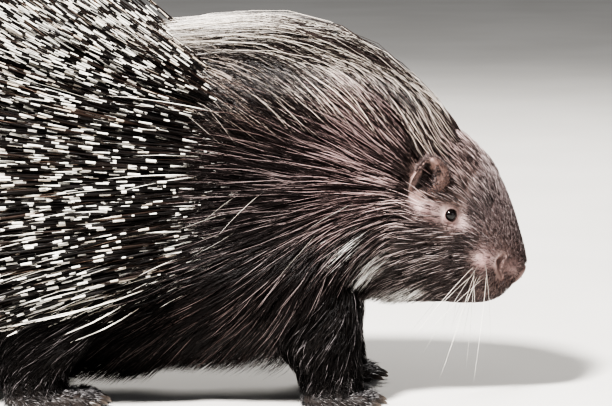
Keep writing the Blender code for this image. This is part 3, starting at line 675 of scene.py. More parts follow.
def group_of(name, inputs, outputs):
    """An empty node group with named sockets, and its input and output nodes."""
    tree = bpy.data.node_groups.new(name, "ShaderNodeTree")
    for word, kind in inputs:
        tree.interface.new_socket(word, in_out="INPUT", socket_type="NodeSocket" + kind)
    for word, kind in outputs:
        tree.interface.new_socket(word, in_out="OUTPUT", socket_type="NodeSocket" + kind)
    return tree, tree.nodes.new("NodeGroupInput"), tree.nodes.new("NodeGroupOutput")


def hair_tone_group():
    """Colour of a hair: root to middle to tip along it, some hairs light, all a little unlike. On dark
    bristles the light hairs are painted glints of sunlight; on the crest and white hair they are pale hairs.
    """
    tree, given, put = group_of(
        "hair_tone",
        (
            ("Along", "Float"),
            ("Lot", "Float"),
            ("High", "Float"),
            ("Root", "Color"),
            ("Middle", "Color"),
            ("Tip", "Color"),
            ("Light", "Color"),
            ("Light Share", "Float"),
            ("Tip Start", "Float"),
        ),
        (("Colour", "Color"),),
    )
    along, lot = given.outputs["Along"], given.outputs["Lot"]
    rooted = stepped(tree, along, 0.05, 0.40)
    colour = colour_mix(tree, rooted, given.outputs["Root"], given.outputs["Middle"])
    start = reckon(tree, "MULTIPLY_ADD", given.outputs["High"], -0.45, given.outputs["Tip Start"])
    tipped = stepped(tree, along, start, reckon(tree, "ADD", start, 0.30))
    colour = colour_mix(tree, tipped, colour, given.outputs["Tip"])
    # Light hairs: on dark bristles painted glints of sunlight, on the crest pale hair.
    edge = reckon(tree, "SUBTRACT", 1.0, given.outputs["Light Share"])
    chosen = reckon(tree, "GREATER_THAN", lot, edge)
    light = reckon(tree, "MULTIPLY", chosen, stepped(tree, along, 0.15, 0.55))
    colour = colour_mix(tree, light, colour, given.outputs["Light"])
    unlike = reckon(tree, "FRACT", reckon(tree, "MULTIPLY", lot, 37.7))
    colour = shaded(tree, colour, stepped(tree, unlike, 0.0, 1.0, 0.62, 1.38))
    tree.links.new(colour, put.inputs["Colour"])
    return tree


def skin_relief_group():
    """Height of fine skin: pores from cells, wrinkles from stretched noise."""
    tree, given, put = group_of(
        "skin_relief",
        (("Position", "Vector"), ("Pore Scale", "Float"), ("Wrinkle Scale", "Float")),
        (("Height", "Float"), ("Blotch", "Float")),
    )
    position = given.outputs["Position"]
    pores = add_node(
        tree, "ShaderNodeTexVoronoi", {"Vector": position, "Scale": given.outputs["Pore Scale"]}
    )
    wrinkles = add_node(
        tree,
        "ShaderNodeTexNoise",
        {"Vector": position, "Scale": given.outputs["Wrinkle Scale"], "Detail": 4.0, "Distortion": 1.2},
    )
    total = reckon(tree, "ADD", pores.outputs["Distance"], wrinkles.outputs[0])
    blotch = add_node(tree, "ShaderNodeTexNoise", {"Vector": position, "Scale": 55.0, "Detail": 3.0})
    tree.links.new(total, put.inputs["Height"])
    tree.links.new(blotch.outputs[0], put.inputs["Blotch"])
    return tree


HAIR_TONE = hair_tone_group()
SKIN_RELIEF = skin_relief_group()
# Warm brown spots are tinted by this, and pale spots take on the colour after it.
WARM_TINT = (0.57, 0.46, 0.43, 1)
PALE_HAIR = (0.95, 0.93, 0.89, 1)
# This much more of the hair is light on the lighter spots: painted sheen on the neck, lighter hair on the
# brow.
SHEEN_AND_ASHEN_LIGHT = 0.24


def hair_material(
    name, root, middle, tip, light, light_share, tip_start, roughness, sheen_and_ashen=1.9, specular=0.5
):
    """Bristles and fur in their own colours, with the markings of the place that they grow from.
    On dark hair the light hairs are painted glints of sunlight.

    The value given for these spots is how many times lighter the hair is there: painted sheen of
    sunlit bristles on the neck, lighter hair on the brow; 0 where there are no markings.
    """
    made, tree, shader = new_material(name, roughness, specular)
    tone = tree.nodes.new("ShaderNodeGroup")
    tone.node_tree = HAIR_TONE
    for word, value in (
        ("Root", (*root, 1)),
        ("Middle", (*middle, 1)),
        ("Tip", (*tip, 1)),
        ("Light", (*light, 1)),
        ("Light Share", light_share),
        ("Tip Start", tip_start),
    ):
        tone.inputs[word].default_value = value
    tree.links.new(attribute(tree, "along"), tone.inputs["Along"])
    tree.links.new(attribute(tree, "lot"), tone.inputs["Lot"])
    tree.links.new(attribute(tree, "high"), tone.inputs["High"])
    colour = tone.outputs["Colour"]
    if sheen_and_ashen:
        more = reckon(tree, "MULTIPLY_ADD", attribute(tree, "sheen_and_ashen"), SHEEN_AND_ASHEN_LIGHT, light_share)
        tree.links.new(more, tone.inputs["Light Share"])
        colour = colour_mix(tree, attribute(tree, "warm"), colour, WARM_TINT, "MULTIPLY")
        # On the neck this lightening is painted sheen of sunlit bristles.
        lighter = (sheen_and_ashen, sheen_and_ashen * 0.87, sheen_and_ashen * 0.86, 1)
        colour = colour_mix(tree, attribute(tree, "sheen_and_ashen"), colour, lighter, "MULTIPLY")
        pale = stepped(tree, attribute(tree, "pale"), 0.20, 0.60)
        outer = stepped(tree, attribute(tree, "along"), 0.12, 0.40)
        colour = colour_mix(tree, reckon(tree, "MULTIPLY", pale, outer), colour, PALE_HAIR)
    tree.links.new(colour, shader.inputs["Base Color"])
    return made


def quill_material(name, colour, other, roughness, specular):
    """One band of the quills: streaks along it and quills a little unlike."""
    made, tree, shader = new_material(name, roughness, specular)
    streak = noise_on(tree, 260.0)
    worn = stepped(tree, attribute(tree, "lot"), 0.72, 1.0)
    mixed = colour_mix(tree, worn, (*colour, 1), (*other, 1))
    mixed = shaded(tree, mixed, stepped(tree, streak, 0.25, 0.75, 0.80, 1.15))
    tree.links.new(mixed, shader.inputs["Base Color"])
    return made


def skin_material():
    """Hide: dark under the coat, grey-mauve on the face, rosy where it is bare."""
    made, tree, shader = new_material("porcupine_skin", 0.55, 0.4)
    place = add_node(tree, "ShaderNodeTexCoord").outputs["Object"]
    relief_node = tree.nodes.new("ShaderNodeGroup")
    relief_node.node_tree = SKIN_RELIEF
    relief_node.inputs["Pore Scale"].default_value = 900.0
    relief_node.inputs["Wrinkle Scale"].default_value = 320.0
    tree.links.new(place, relief_node.inputs["Position"])
    blotch = stepped(tree, relief_node.outputs["Blotch"], 0.35, 0.65)
    face = colour_mix(tree, blotch, (0.165, 0.112, 0.100, 1), (0.250, 0.178, 0.162, 1))
    colour = colour_mix(tree, attribute(tree, "grey"), (0.020, 0.014, 0.012, 1), face)
    colour = colour_mix(tree, attribute(tree, "warm"), colour, WARM_TINT, "MULTIPLY")
    rosy = colour_mix(tree, blotch, (0.500, 0.315, 0.300, 1), (0.690, 0.510, 0.490, 1))
    colour = colour_mix(tree, attribute(tree, "rosy"), colour, rosy)
    colour = colour_mix(tree, attribute(tree, "pale"), colour, (0.30, 0.24, 0.21, 1))
    hide = colour_mix(tree, blotch, (0.200, 0.118, 0.098, 1), (0.290, 0.180, 0.152, 1))
    colour = colour_mix(tree, attribute(tree, "flap"), colour, hide)
    colour = colour_mix(tree, attribute(tree, "rim"), colour, (0.450, 0.300, 0.265, 1))
    # Painted shade in the nostrils, mouth line and ear openings, with dark hair in the ears and dark lid
    # rims.
    colour = colour_mix(tree, attribute(tree, "shade_and_dark_rims"), colour, (0.014, 0.010, 0.009, 1))
    tree.links.new(colour, shader.inputs["Base Color"])
    bump = add_node(
        tree,
        "ShaderNodeBump",
        {"Strength": 0.45, "Distance": 0.0005, "Height": relief_node.outputs["Height"]},
    )
    tree.links.new(bump.outputs[0], shader.inputs["Normal"])
    return made


def eye_material():
    """Wet, nearly black eye, a little brown round the pupil."""
    made, tree, shader = new_material("eye_gloss", 0.16, 0.35)
    shade = stepped(tree, noise_on(tree, 420.0), 0.4, 0.7)
    colour = colour_mix(tree, shade, (0.003, 0.002, 0.002, 1), (0.010, 0.007, 0.006, 1))
    tree.links.new(colour, shader.inputs["Base Color"])
    shader.inputs["Coat Weight"].default_value = 0.30
    shader.inputs["Coat Roughness"].default_value = 0.02
    return made


def claw_material():
    """Dark horn with a lighter, worn tip and fine lines."""
    made, tree, shader = new_material("claw_horn", 0.38)
    lines = stepped(tree, noise_on(tree, 700.0), 0.3, 0.7)
    colour = colour_mix(tree, lines, (0.022, 0.016, 0.013, 1), (0.052, 0.039, 0.031, 1))
    tip = stepped(tree, attribute(tree, "along"), 0.55, 1.0)
    colour = colour_mix(tree, tip, colour, (0.110, 0.088, 0.072, 1))
    tree.links.new(colour, shader.inputs["Base Color"])
    return made


def finish_piece(piece, slot, *nodes):
    """Rides the piece on the still body and hides the solids that it stands for. The slot is not used."""
    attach(piece, "root")
    if nodes:
        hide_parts(*nodes)
    return piece


# Skin


def body_skin():
    """The body's tube, closed by a small dome at rump and muzzle, and moved out by the relief."""
    columns = 184
    places = np.concatenate(
        [
            np.linspace(0.0, 10.0, 76, endpoint=False),
            np.linspace(10.0, 12.6, 34, endpoint=False),
            np.linspace(12.6, MUZZLE_TIP, 180),
        ]
    )
    turns = np.linspace(0, 2 * math.pi, columns, endpoint=False)
    place, turn = np.meshgrid(places, turns, indexing="ij")
    rings = body_point(place, turn)

    def dome(ring, ahead, reach, steps):
        """Rings that shrink by a quarter circle from this one, and the point at their end."""
        middle = ring.mean(axis=0)
        turns_up = np.linspace(0, math.pi / 2, steps + 1)[1:-1]
        domed = [
            middle + (ring - middle) * math.cos(turn_up) + ahead * (reach * math.sin(turn_up))
            for turn_up in turns_up
        ]
        return np.array(domed), middle + ahead * reach

    front, front_end = dome(rings[-1], unit(np.array([0.80, 0.0, -0.60])), 0.0062, 12)
    rear, rear_end = dome(rings[0], np.array([-1.0, 0.0, 0.0]), 0.006, 5)
    grid = np.concatenate([rear[::-1], rings, front])
    down = np.gradient(grid, axis=0)
    across = (np.roll(grid, -1, axis=1) - np.roll(grid, 1, axis=1)) / 2
    normals = unit(np.cross(across, down))
    grid = grid + normals * relief(grid)[..., None]
    return closed_tube(grid, [rear_end, front_end])


def row_tube(rows, columns, rings, inset, ends):
    """Level ellipses through rows of height, x, y, half length and half width, less an inset."""
    at = rows_at(rows, np.linspace(0, len(rows) - 1, rings))
    turns = np.linspace(0, 2 * math.pi, columns, endpoint=False)
    z, x, y, long, wide = (at[:, step][:, None] for step in range(5))
    grid = np.stack(
        [x + (long - inset) * np.cos(turns), y + (wide - inset) * np.sin(turns), z + 0 * turns], axis=-1
    )
    tips = [grid[0].mean(axis=0), grid[-1].mean(axis=0)]
    tips[0][2] += ends[0]
    tips[1][2] -= ends[1]
    return closed_tube(grid, tips)


def bar(start, ahead, length, profile, columns, rings, droop=0.0, across=None):
    """Round bar along a line, through rows of share, half width and half height.

    Its middle sinks by the droop times the square of the share. It is level across.
    """
    at = rows_at(profile, np.linspace(0, len(profile) - 1, rings))
    if across is None:
        across = unit(np.cross([0.0, 0.0, 1.0], ahead))
    up = np.cross(ahead, across)
    turns = np.linspace(0, 2 * math.pi, columns, endpoint=False)
    middle = start + ahead * (length * at[:, :1]) - up * (droop * at[:, :1] ** 2)
    grid = (
        middle[:, None]
        + across * (at[:, 1][:, None, None] * np.cos(turns)[None, :, None])
        + up * (at[:, 2][:, None, None] * np.sin(turns)[None, :, None])
    )
    return closed_tube(grid, [grid[0].mean(axis=0), grid[-1].mean(axis=0)])


def fore_rows(x, side):
    """Rows of a fore leg from the shoulder down: height, x, y, half length and half width."""
    return [
        (0.160, x - 0.020, side * 0.046, 0.036, 0.028),
        (0.120, x - 0.012, side * 0.060, 0.045, 0.031),
        (0.084, x - 0.008, side * 0.067, 0.045, 0.030),
        (0.056, x - 0.003, side * LEG_SPREAD, 0.038, 0.027),
        (0.034, x + 0.006, side * LEG_SPREAD, 0.031, 0.024),
        (0.012, x + 0.010, side * LEG_SPREAD, 0.030, 0.025),
    ]


def hind_rows(x, side):
    """Rows of a hind leg from the thigh down: height, x, y, half length and half width."""
    return [
        (0.160, x + 0.030, side * 0.046, 0.056, 0.034),
        (0.115, x + 0.024, side * 0.060, 0.058, 0.035),
        (0.084, x + 0.012, side * 0.067, 0.052, 0.033),
        (0.056, x - 0.002, side * LEG_SPREAD, 0.042, 0.029),
        (0.034, x - 0.010, side * LEG_SPREAD, 0.033, 0.025),
        (0.012, x - 0.008, side * LEG_SPREAD, 0.031, 0.026),
    ]


# Each limb's name, rows, x on the sections, side, number of toes and foot length.
LIMBS = [
    ("fore_right", fore_rows, 0.118, -1, 4, FORE_FOOT_LENGTH),
    ("fore_left", fore_rows, 0.123, 1, 4, FORE_FOOT_LENGTH),
    ("hind_right", hind_rows, -0.171, -1, 5, HIND_FOOT_LENGTH),
    ("hind_left", hind_rows, -0.215, 1, 5, HIND_FOOT_LENGTH),
]


def toe_lines(limb):
    """Root, direction and reach of each toe, fanned out from the middle of the foot."""
    _, rows_of, x, side, toes, foot_length = limb
    _, middle, y, long, _ = rows_of(x + MIDDLE_SHIFT[0], side)[ANKLE_ROW]
    start = middle - long * HEEL_BACK + foot_length * 0.25
    lines = []
    for index in range(toes):
        across = (index - (toes - 1) / 2) / ((toes - 1) / 2)
        fan = math.radians(16 * across)
        ahead = np.array([math.cos(fan), math.sin(fan), 0.0])
        root = np.array([start + foot_length * 0.42, y + across * 0.019, 0.0085])
        lines.append((root, ahead, foot_length * (0.30 - 0.07 * across**2)))
    return lines


def limb_skin(limb):
    """Leg, pad and toes of one limb, melted into one closed surface."""
    name, rows_of, x, side, _, foot_length = limb
    rows = rows_of(x + MIDDLE_SHIFT[0], side)
    shapes = [row_tube(rows, 40, 30, inset=LEG_COAT_DEPTH, ends=(0.004, 0.006))]
    _, middle, _, long, _ = rows[ANKLE_ROW]
    heel = middle - long * HEEL_BACK
    pad = (
        (0.0, 0.010, 0.006),
        (0.15, 0.021, 0.0110),
        (0.45, 0.0235, 0.0125),
        (0.72, 0.0235, 0.0115),
        (0.92, 0.014, 0.007),
    )
    start = np.array([heel, side * LEG_SPREAD, 0.0075])
    shapes.append(bar(start, np.array([1.0, 0.0, 0.0]), foot_length * 0.88, pad, 28, 20))
    for root, ahead, reach in toe_lines(limb):
        profile = (
            (-0.3, TOE_RADIUS * 0.7, TOE_RADIUS * 0.7),
            (0.2, TOE_RADIUS * 0.86, TOE_RADIUS * 0.88),
            (0.72, TOE_RADIUS * 0.90, TOE_RADIUS * 0.86),
            (0.95, TOE_RADIUS * 0.62, TOE_RADIUS * 0.62),
            (1.06, CLAW_RADIUS * 1.0, CLAW_RADIUS * 1.1),
        )
        shapes.append(bar(root, ahead, reach, profile, 18, 14))
    pieces = [closed_piece(f"{name}_{number}", shape) for number, shape in enumerate(shapes)]
    whole = joined(name + "_flesh", pieces)
    melt = whole.modifiers.new("Melt", "REMESH")
    melt.mode = "VOXEL"
    melt.voxel_size = 0.0023
    soften = whole.modifiers.new("Soften", "SMOOTH")
    soften.iterations = 5
    soften.factor = 0.5
    applied(whole)
    return whole


def joined(name, pieces):
    """One object with the meshes of all the pieces, which are removed."""
    points, triangles, offset = [], [], 0
    for piece in pieces:
        mesh = piece.data
        points.append(mesh_points(mesh))
        mesh.calc_loop_triangles()
        faces = np.empty(len(mesh.loop_triangles) * 3, np.int32)
        mesh.loop_triangles.foreach_get("vertices", faces)
        triangles.append(faces.reshape(-1, 3) + offset)
        offset += len(mesh.vertices)
        bpy.data.objects.remove(piece, do_unlink=True)
    whole = new_piece(name)
    set_faces(whole.data, np.vstack(points), np.empty((0, 4), int), np.vstack(triangles))
    return whole


def applied(piece):
    """Puts the piece's evaluated mesh in place of its modifiers."""
    bpy.context.view_layer.update()
    graph = bpy.context.evaluated_depsgraph_get()
    mesh = bpy.data.meshes.new_from_object(piece.evaluated_get(graph))
    piece.modifiers.clear()
    piece.data = mesh


def ear_frame(side):
    """Middle, direction forward, rise and opening of one ear."""
    flip = np.array([1.0, -side, 1.0])
    rise = unit(np.array([0.42, side * 0.20, 0.88]))
    opening = np.array([0.22, side * 0.97, -0.05])
    opening = unit(opening - rise * (opening @ rise))
    forward = np.cross(rise, opening) * -side
    middle = EAR_POINT * flip + rise * 0.0045 + opening * 0.0040
    return middle, forward, rise, opening


def ear_place(points):
    """Places on the right ear, as shares of its size: forward, up and out of the opening."""
    middle, forward, rise, opening = ear_frame(-1)
    gap = right_side(points) - middle
    ahead = gap @ forward
    ahead = np.where(ahead > 0, ahead / EAR_FRONT, ahead / EAR_BACK)
    return ahead, (gap @ rise) / (EAR_HEIGHT / 2), (gap @ opening) / EAR_DEPTH


def ear_skin(side):
    """Cupped ear: rings out to the rim and back down inside, each a mix of a back and a front profile.

    At the back the rim is thin. In front it is a broad, swelling flap that runs into the forehead.
    """
    middle, forward, rise, opening = ear_frame(side)
    back = (
        (0.10, -1.00), (0.34, -0.96), (0.60, -0.80), (0.82, -0.50), (0.95, -0.15), (1.00, 0.14),
        (1.01, 0.27), (0.98, 0.31), (0.94, 0.24), (0.90, 0.06), (0.83, -0.16), (0.70, -0.38),
        (0.50, -0.54), (0.26, -0.63), (0.08, -0.66),
    )
    front = (
        (0.10, -1.00), (0.34, -0.98), (0.60, -0.92), (0.82, -0.80), (0.95, -0.66), (1.00, -0.50),
        (0.95, -0.28), (0.84, -0.06), (0.70, 0.10), (0.54, 0.18), (0.42, 0.16), (0.33, 0.00),
        (0.24, -0.30), (0.13, -0.56), (0.04, -0.66),
    )
    level = np.linspace(0, len(back) - 1, 58)
    rear, fore = rows_at(back, level), rows_at(front, level)
    turns = np.linspace(0, 2 * math.pi, 80, endpoint=False)
    part = (0.5 + 0.5 * np.cos(turns))[None]
    scale = rear[:, :1] * (1 - part) + fore[:, :1] * part
    depth = rear[:, 1:] * (1 - part) + fore[:, 1:] * part
    ripple = 0.0006 * np.sin(5 * turns + 0.7)[None] * scale
    half = np.where(np.cos(turns) > 0, EAR_FRONT, EAR_BACK)[None]
    narrow = 1.0 - 0.16 * np.sin(turns)[None]
    straight = np.where(np.cos(turns) > 0, np.cos(turns), -np.abs(np.cos(turns)) ** 0.6)[None]
    grid = (
        middle
        + forward * (half * scale * straight * narrow)[..., None]
        + rise * (EAR_HEIGHT / 2 * scale * np.sin(turns)[None])[..., None]
        + opening * (EAR_DEPTH * depth + ripple)[..., None]
    )
    ends = [middle - opening * EAR_DEPTH, middle - opening * (EAR_DEPTH * 0.67)]
    return closed_tube(grid, ends)


def lid_skin(side):
    """Lids: a lens-shaped rim round the eyeball, as a loop of profile points about its axis."""
    flip = np.array([1.0, -side, 1.0])
    centre, normal = EYE_CENTRE * flip, EYE_NORMAL * flip
    forward = np.array([0.86, 0.0, -0.51])
    forward = unit(forward - normal * (forward @ normal))
    upward = np.cross(normal, forward) * side
    turns = np.linspace(0, 2 * math.pi, 64, endpoint=False)
    opening = EYE_RADIUS * (0.965 - 0.05 * np.sin(turns) ** 2 + 0.02 * np.cos(turns) ** 9)
    seat = np.sqrt(np.maximum((EYE_RADIUS + 0.0002) ** 2 - opening**2, 0))
    loop = np.array(
        [
            (0.0, 0.0), (0.00015, 0.0004), (0.0006, 0.0007), (0.0013, 0.0006), (0.0024, 0.0000),
            (0.0040, -0.0012), (0.0056, -0.0030), (0.0050, -0.0056), (0.0020, -0.0062), (-0.0004, -0.0026),
        ]
    )
    loop = rows_at(np.vstack([loop, loop[:1]]), np.linspace(0, len(loop), 31)[:-1])
    ray = np.cos(turns)[:, None] * forward + np.sin(turns)[:, None] * upward
    grid = (
        centre
        + ray[:, None] * (opening[:, None] + loop[None, :, 0])[..., None]
        + normal * (seat[:, None] + loop[None, :, 1])[..., None]
    )
    rows, columns, _ = grid.shape
    index = np.arange(rows * columns).reshape(rows, columns)
    across, down = np.roll(index, -1, axis=1), np.roll(index, -1, axis=0)
    both = np.roll(across, -1, axis=0)
    quads = np.stack([index, across, both, down], axis=-1).reshape(-1, 4)
    return grid.reshape(-1, 3), quads, np.empty((0, 3), int)


def tail_skin():
    """Round bar from the root of the tail to its tip, where it is a fifth as thick."""
    run = TAIL_TIP - TAIL_ROOT
    profile = [
        (part, TAIL_RADIUS * thick, TAIL_RADIUS * thick)
        for part, thick in ((-0.3, 0.9), (0.0, 1.0), (0.4, 0.85), (0.8, 0.55), (1.0, 0.2))
    ]
    return bar(TAIL_ROOT, unit(run), np.linalg.norm(run), profile, 32, 20, across=np.array([0.0, 1.0, 0.0]))


def united(base, others):
    """One Boolean union of the base with the others, applied, and the others removed."""
    holder = bpy.data.collections.new("to_unite")
    bpy.context.scene.collection.children.link(holder)
    for other in others:
        holder.objects.link(other)
    union = base.modifiers.new("Union", "BOOLEAN")
    union.operand_type = "COLLECTION"
    union.collection = holder
    union.operation = "UNION"
    union.solver = "MANIFOLD"
    applied(base)
    for other in others:
        bpy.data.objects.remove(other, do_unlink=True)
    bpy.data.collections.remove(holder)


def relaxed(mesh, weight, rounds):
    """Moves each point part of the way to the mean of its neighbours, by its own weight."""
    points = mesh_points(mesh)
    edges = np.empty(len(mesh.edges) * 2, np.int32)
    mesh.edges.foreach_get("vertices", edges)
    edges = edges.reshape(-1, 2)
    degree = np.bincount(edges.ravel(), minlength=len(points))[:, None]
    for _ in range(rounds):
        total = np.zeros_like(points)
        for axis in range(3):
            total[:, axis] = np.bincount(
                edges[:, 0], weights=points[edges[:, 1], axis], minlength=len(points)
            ) + np.bincount(edges[:, 1], weights=points[edges[:, 0], axis], minlength=len(points))
        points += (total / np.maximum(degree, 1) - points) * weight[:, None]
    points[:, 2] = np.maximum(points[:, 2], FLOOR_GAP)
    mesh.vertices.foreach_set("co", points.astype(np.float32).ravel())
    mesh.update()


def near(points, centre, inner, outer):
    """1 within the inner distance of a centre on either side, and 0 past the outer one."""
    away = np.linalg.norm(right_side(points) - right_side(np.asarray(centre)), axis=-1)
    return smooth(outer, inner, away)


def build_skin():
    """Body, ears, lids, tail and legs as one surface, its seams relaxed, with its markings."""
    skin = closed_piece("porcupine_skin", body_skin(), [skin_material()])
    others = [closed_piece(f"ear_{side}", ear_skin(side)) for side in (-1, 1)]
    others += [closed_piece(f"lid_{side}", lid_skin(side)) for side in (-1, 1)]
    others.append(closed_piece("tail_flesh", tail_skin()))
    others += [limb_skin(limb) for limb in LIMBS]
    united(skin, others)
    mesh = skin.data
    points = mesh_points(mesh)
    weight = 0.35 * near(points, EAR_POINT - np.array([0, 0, 0.004]), 0.006, 0.016)
    low = smooth(0.135, 0.110, points[:, 2]) * smooth(0.03, 0.05, points[:, 2])
    weight = np.maximum(weight, 0.4 * low * smooth(0.24, 0.20, points[:, 0]))
    ahead, up, out = ear_place(points)
    edge = smooth(0.55, 0.80, ahead) * smooth(1.40, 1.15, np.hypot(ahead, up)) * smooth(-2.2, -1.4, out)
    relaxed(mesh, np.maximum(weight, 0.80 * edge), 34)
    points = mesh_points(mesh)
    values = marks(points)
    ahead, up, out = ear_place(points)
    around = np.hypot(ahead, up)
    on_ear = smooth(1.12, 1.00, around) * smooth(-0.9, -0.6, out)
    inside = on_ear * smooth(0.10, -0.12, out) * smooth(0.55, 0.36, ahead) * smooth(0.93, 0.85, around)
    flat_place = np.stack([ahead, up, 0 * up], axis=-1)
    hollow, _ = line_distance(flat_place, [(-0.16, -0.58, 0), (0.06, 0.06, 0), (-0.24, 0.52, 0)])
    values["flap"] = 0.9 * on_ear * smooth(-0.35, 0.15, ahead)
    values["rim"] = 0.75 * on_ear * smooth(0.86, 0.96, around) * smooth(0.10, -0.25, ahead) * (1 - inside)
    values["rim"] = np.maximum(values["rim"], 0.40 * inside * smooth(0.0, -0.3, ahead))
    # The ear's opening: dark hair and painted shade of its deep cup, along a crescent.
    inside = inside * smooth(0.34, 0.12, hollow)
    by_ear = smooth(2.2, 1.6, around) * smooth(-2.6, -1.6, out) * smooth(-0.95, -0.60, up)
    values["rosy"] = values["rosy"] * (1 - 0.6 * by_ear)
    away, _ = line_distance(right_side(points), NOSTRIL_POINTS[:3])
    mouth_away, _ = line_distance(right_side(points), MOUTH_POINTS)
    lids = near(points, EYE_CENTRE + EYE_NORMAL * 0.004, 0.0062, 0.0080)
    # Painted shade in the nostril's opening and the mouth's groove, and a dark rim round the lids.
    shade_and_dark_rims = np.maximum(smooth(0.0028, 0.0012, away), 0.7 * smooth(0.002, 0.0006, mouth_away))
    values["shade_and_dark_rims"] = np.maximum(np.maximum(shade_and_dark_rims, 0.58 * lids), 0.90 * inside)
    set_values(mesh, values)
    mesh.shade_smooth()
    nodes = ["head", "neck", "shoulders", "torso", "tail", "ear_right", "ear_left"]
    nodes += [kind + limb[0] for limb in LIMBS for kind in ("leg_", "foot_")]
    return finish_piece(skin, "face", *nodes)


def build_eyes(material):
    """Eyeballs: spheres about their gaze, with a slight bulge of the cornea."""
    for side, word in ((-1, "right"), (1, "left")):
        flip = np.array([1.0, -side, 1.0])
        centre, normal = EYE_CENTRE * flip, EYE_NORMAL * flip
        first = unit(np.cross(normal, [0.0, 0.0, 1.0]))
        second = np.cross(normal, first)
        polar = np.linspace(0, math.pi, 34)[1:-1]
        turns = np.linspace(0, 2 * math.pi, 48, endpoint=False)
        radius = EYE_RADIUS * (1.0 + 0.035 * np.exp(-((polar / 0.55) ** 2)))
        grid = (
            centre
            + normal * (radius * np.cos(polar))[:, None, None]
            + first * ((radius * np.sin(polar))[:, None] * np.cos(turns))[..., None]
            + second * ((radius * np.sin(polar))[:, None] * np.sin(turns))[..., None]
        )
        ends = [centre + normal * radius[0], centre - normal * EYE_RADIUS]
        piece = closed_piece("eyeball_" + word, closed_tube(grid, ends), [material])
        finish_piece(piece, "eye", "eye_" + word)


def build_claws(material):
    """Blunt horn claws: tapered bars that bend down towards the tip."""
    profile = (
        (0.0, CLAW_RADIUS, CLAW_RADIUS * 1.15),
        (0.35, CLAW_RADIUS * 0.95, CLAW_RADIUS * 1.10),
        (0.75, CLAW_RADIUS * 0.60, CLAW_RADIUS * 0.75),
        (1.0, CLAW_RADIUS * 0.18, CLAW_RADIUS * 0.22),
    )
    for limb in LIMBS:
        for number, (root, ahead, reach) in enumerate(toe_lines(limb)):
            node = f"claw_{limb[0]}_{number + 1}"
            start = root + ahead * (reach + 0.0003)
            shape = bar(start, ahead, CLAW_LENGTH, profile, 14, 14, droop=CLAW_LENGTH * 0.22)
            piece = closed_piece(node + "_horn", shape, [material])
            share = ((mesh_points(piece.data) - start) @ ahead) / CLAW_LENGTH
            set_values(piece.data, {"along": np.clip(share, 0, 1)})
            finish_piece(piece, "claw_horn", node)


# Coat


def body_strands(name, count, region, length, heights, shares, radius, material, rng, slot="bristle_coat",
                 clumps=0, pull=0.5, lean=6.0, density=None, drift=coat_drift, highest=1.25,
                 droop=None):
    """Strands over a region of the body: low and high place, first and last turn.

    length(place, turn) and heights(place, turn) give each strand's length in metres and its
    height over the skin at each share of the length. droop is how far its tip hangs down.
    """
    place, turn = scattered(count, *region, rng, density)
    reach = length(place, turn) * rng.uniform(0.75, 1.15, count)
    lift = heights(place, turn) * rng.uniform(0.6, highest, count)[:, None]
    lift[:, 0] = -BRISTLE_ROOT
    turned = np.radians(rng.normal(0, lean, count))
    paths, normals = lie_along(place, turn, reach, lift, shares, turned, drift)
    if droop:
        paths[..., 2] -= droop(place, turn)[:, None] * np.asarray(shares) ** 2
        paths[..., 2] = np.maximum(paths[..., 2], 0.012)
    lots = rng.random(count)
    if clumps:
        paths, nearest = clumped(paths, shares, clumps, pull, rng)
        shade = rng.normal(0, 0.08, clumps)
        lots = np.clip(lots + shade[nearest], 0.001, 0.999)
    thick = radius * rng.uniform(0.75, 1.2, count)
    steps = np.interp(shares, (0, 0.15, 0.6, 1.0), (0.8, 1.0, 0.8, 0.25))
    marked = marks(body_point(place, turn))
    extra = {
        "pale": marked["pale"] * (rng.random(count) < 0.55),
        "warm": marked["warm"],
        "sheen_and_ashen": marked["sheen_and_ashen"],
        "high": smooth(0.75, 0.25, np.abs(turn)),
    }
    piece = strand_piece(
        name, paths, normals, taper(steps, thick), body_chart(place, turn), [material],
        lots=lots, extra=extra,
    )
    return finish_piece(piece, slot)


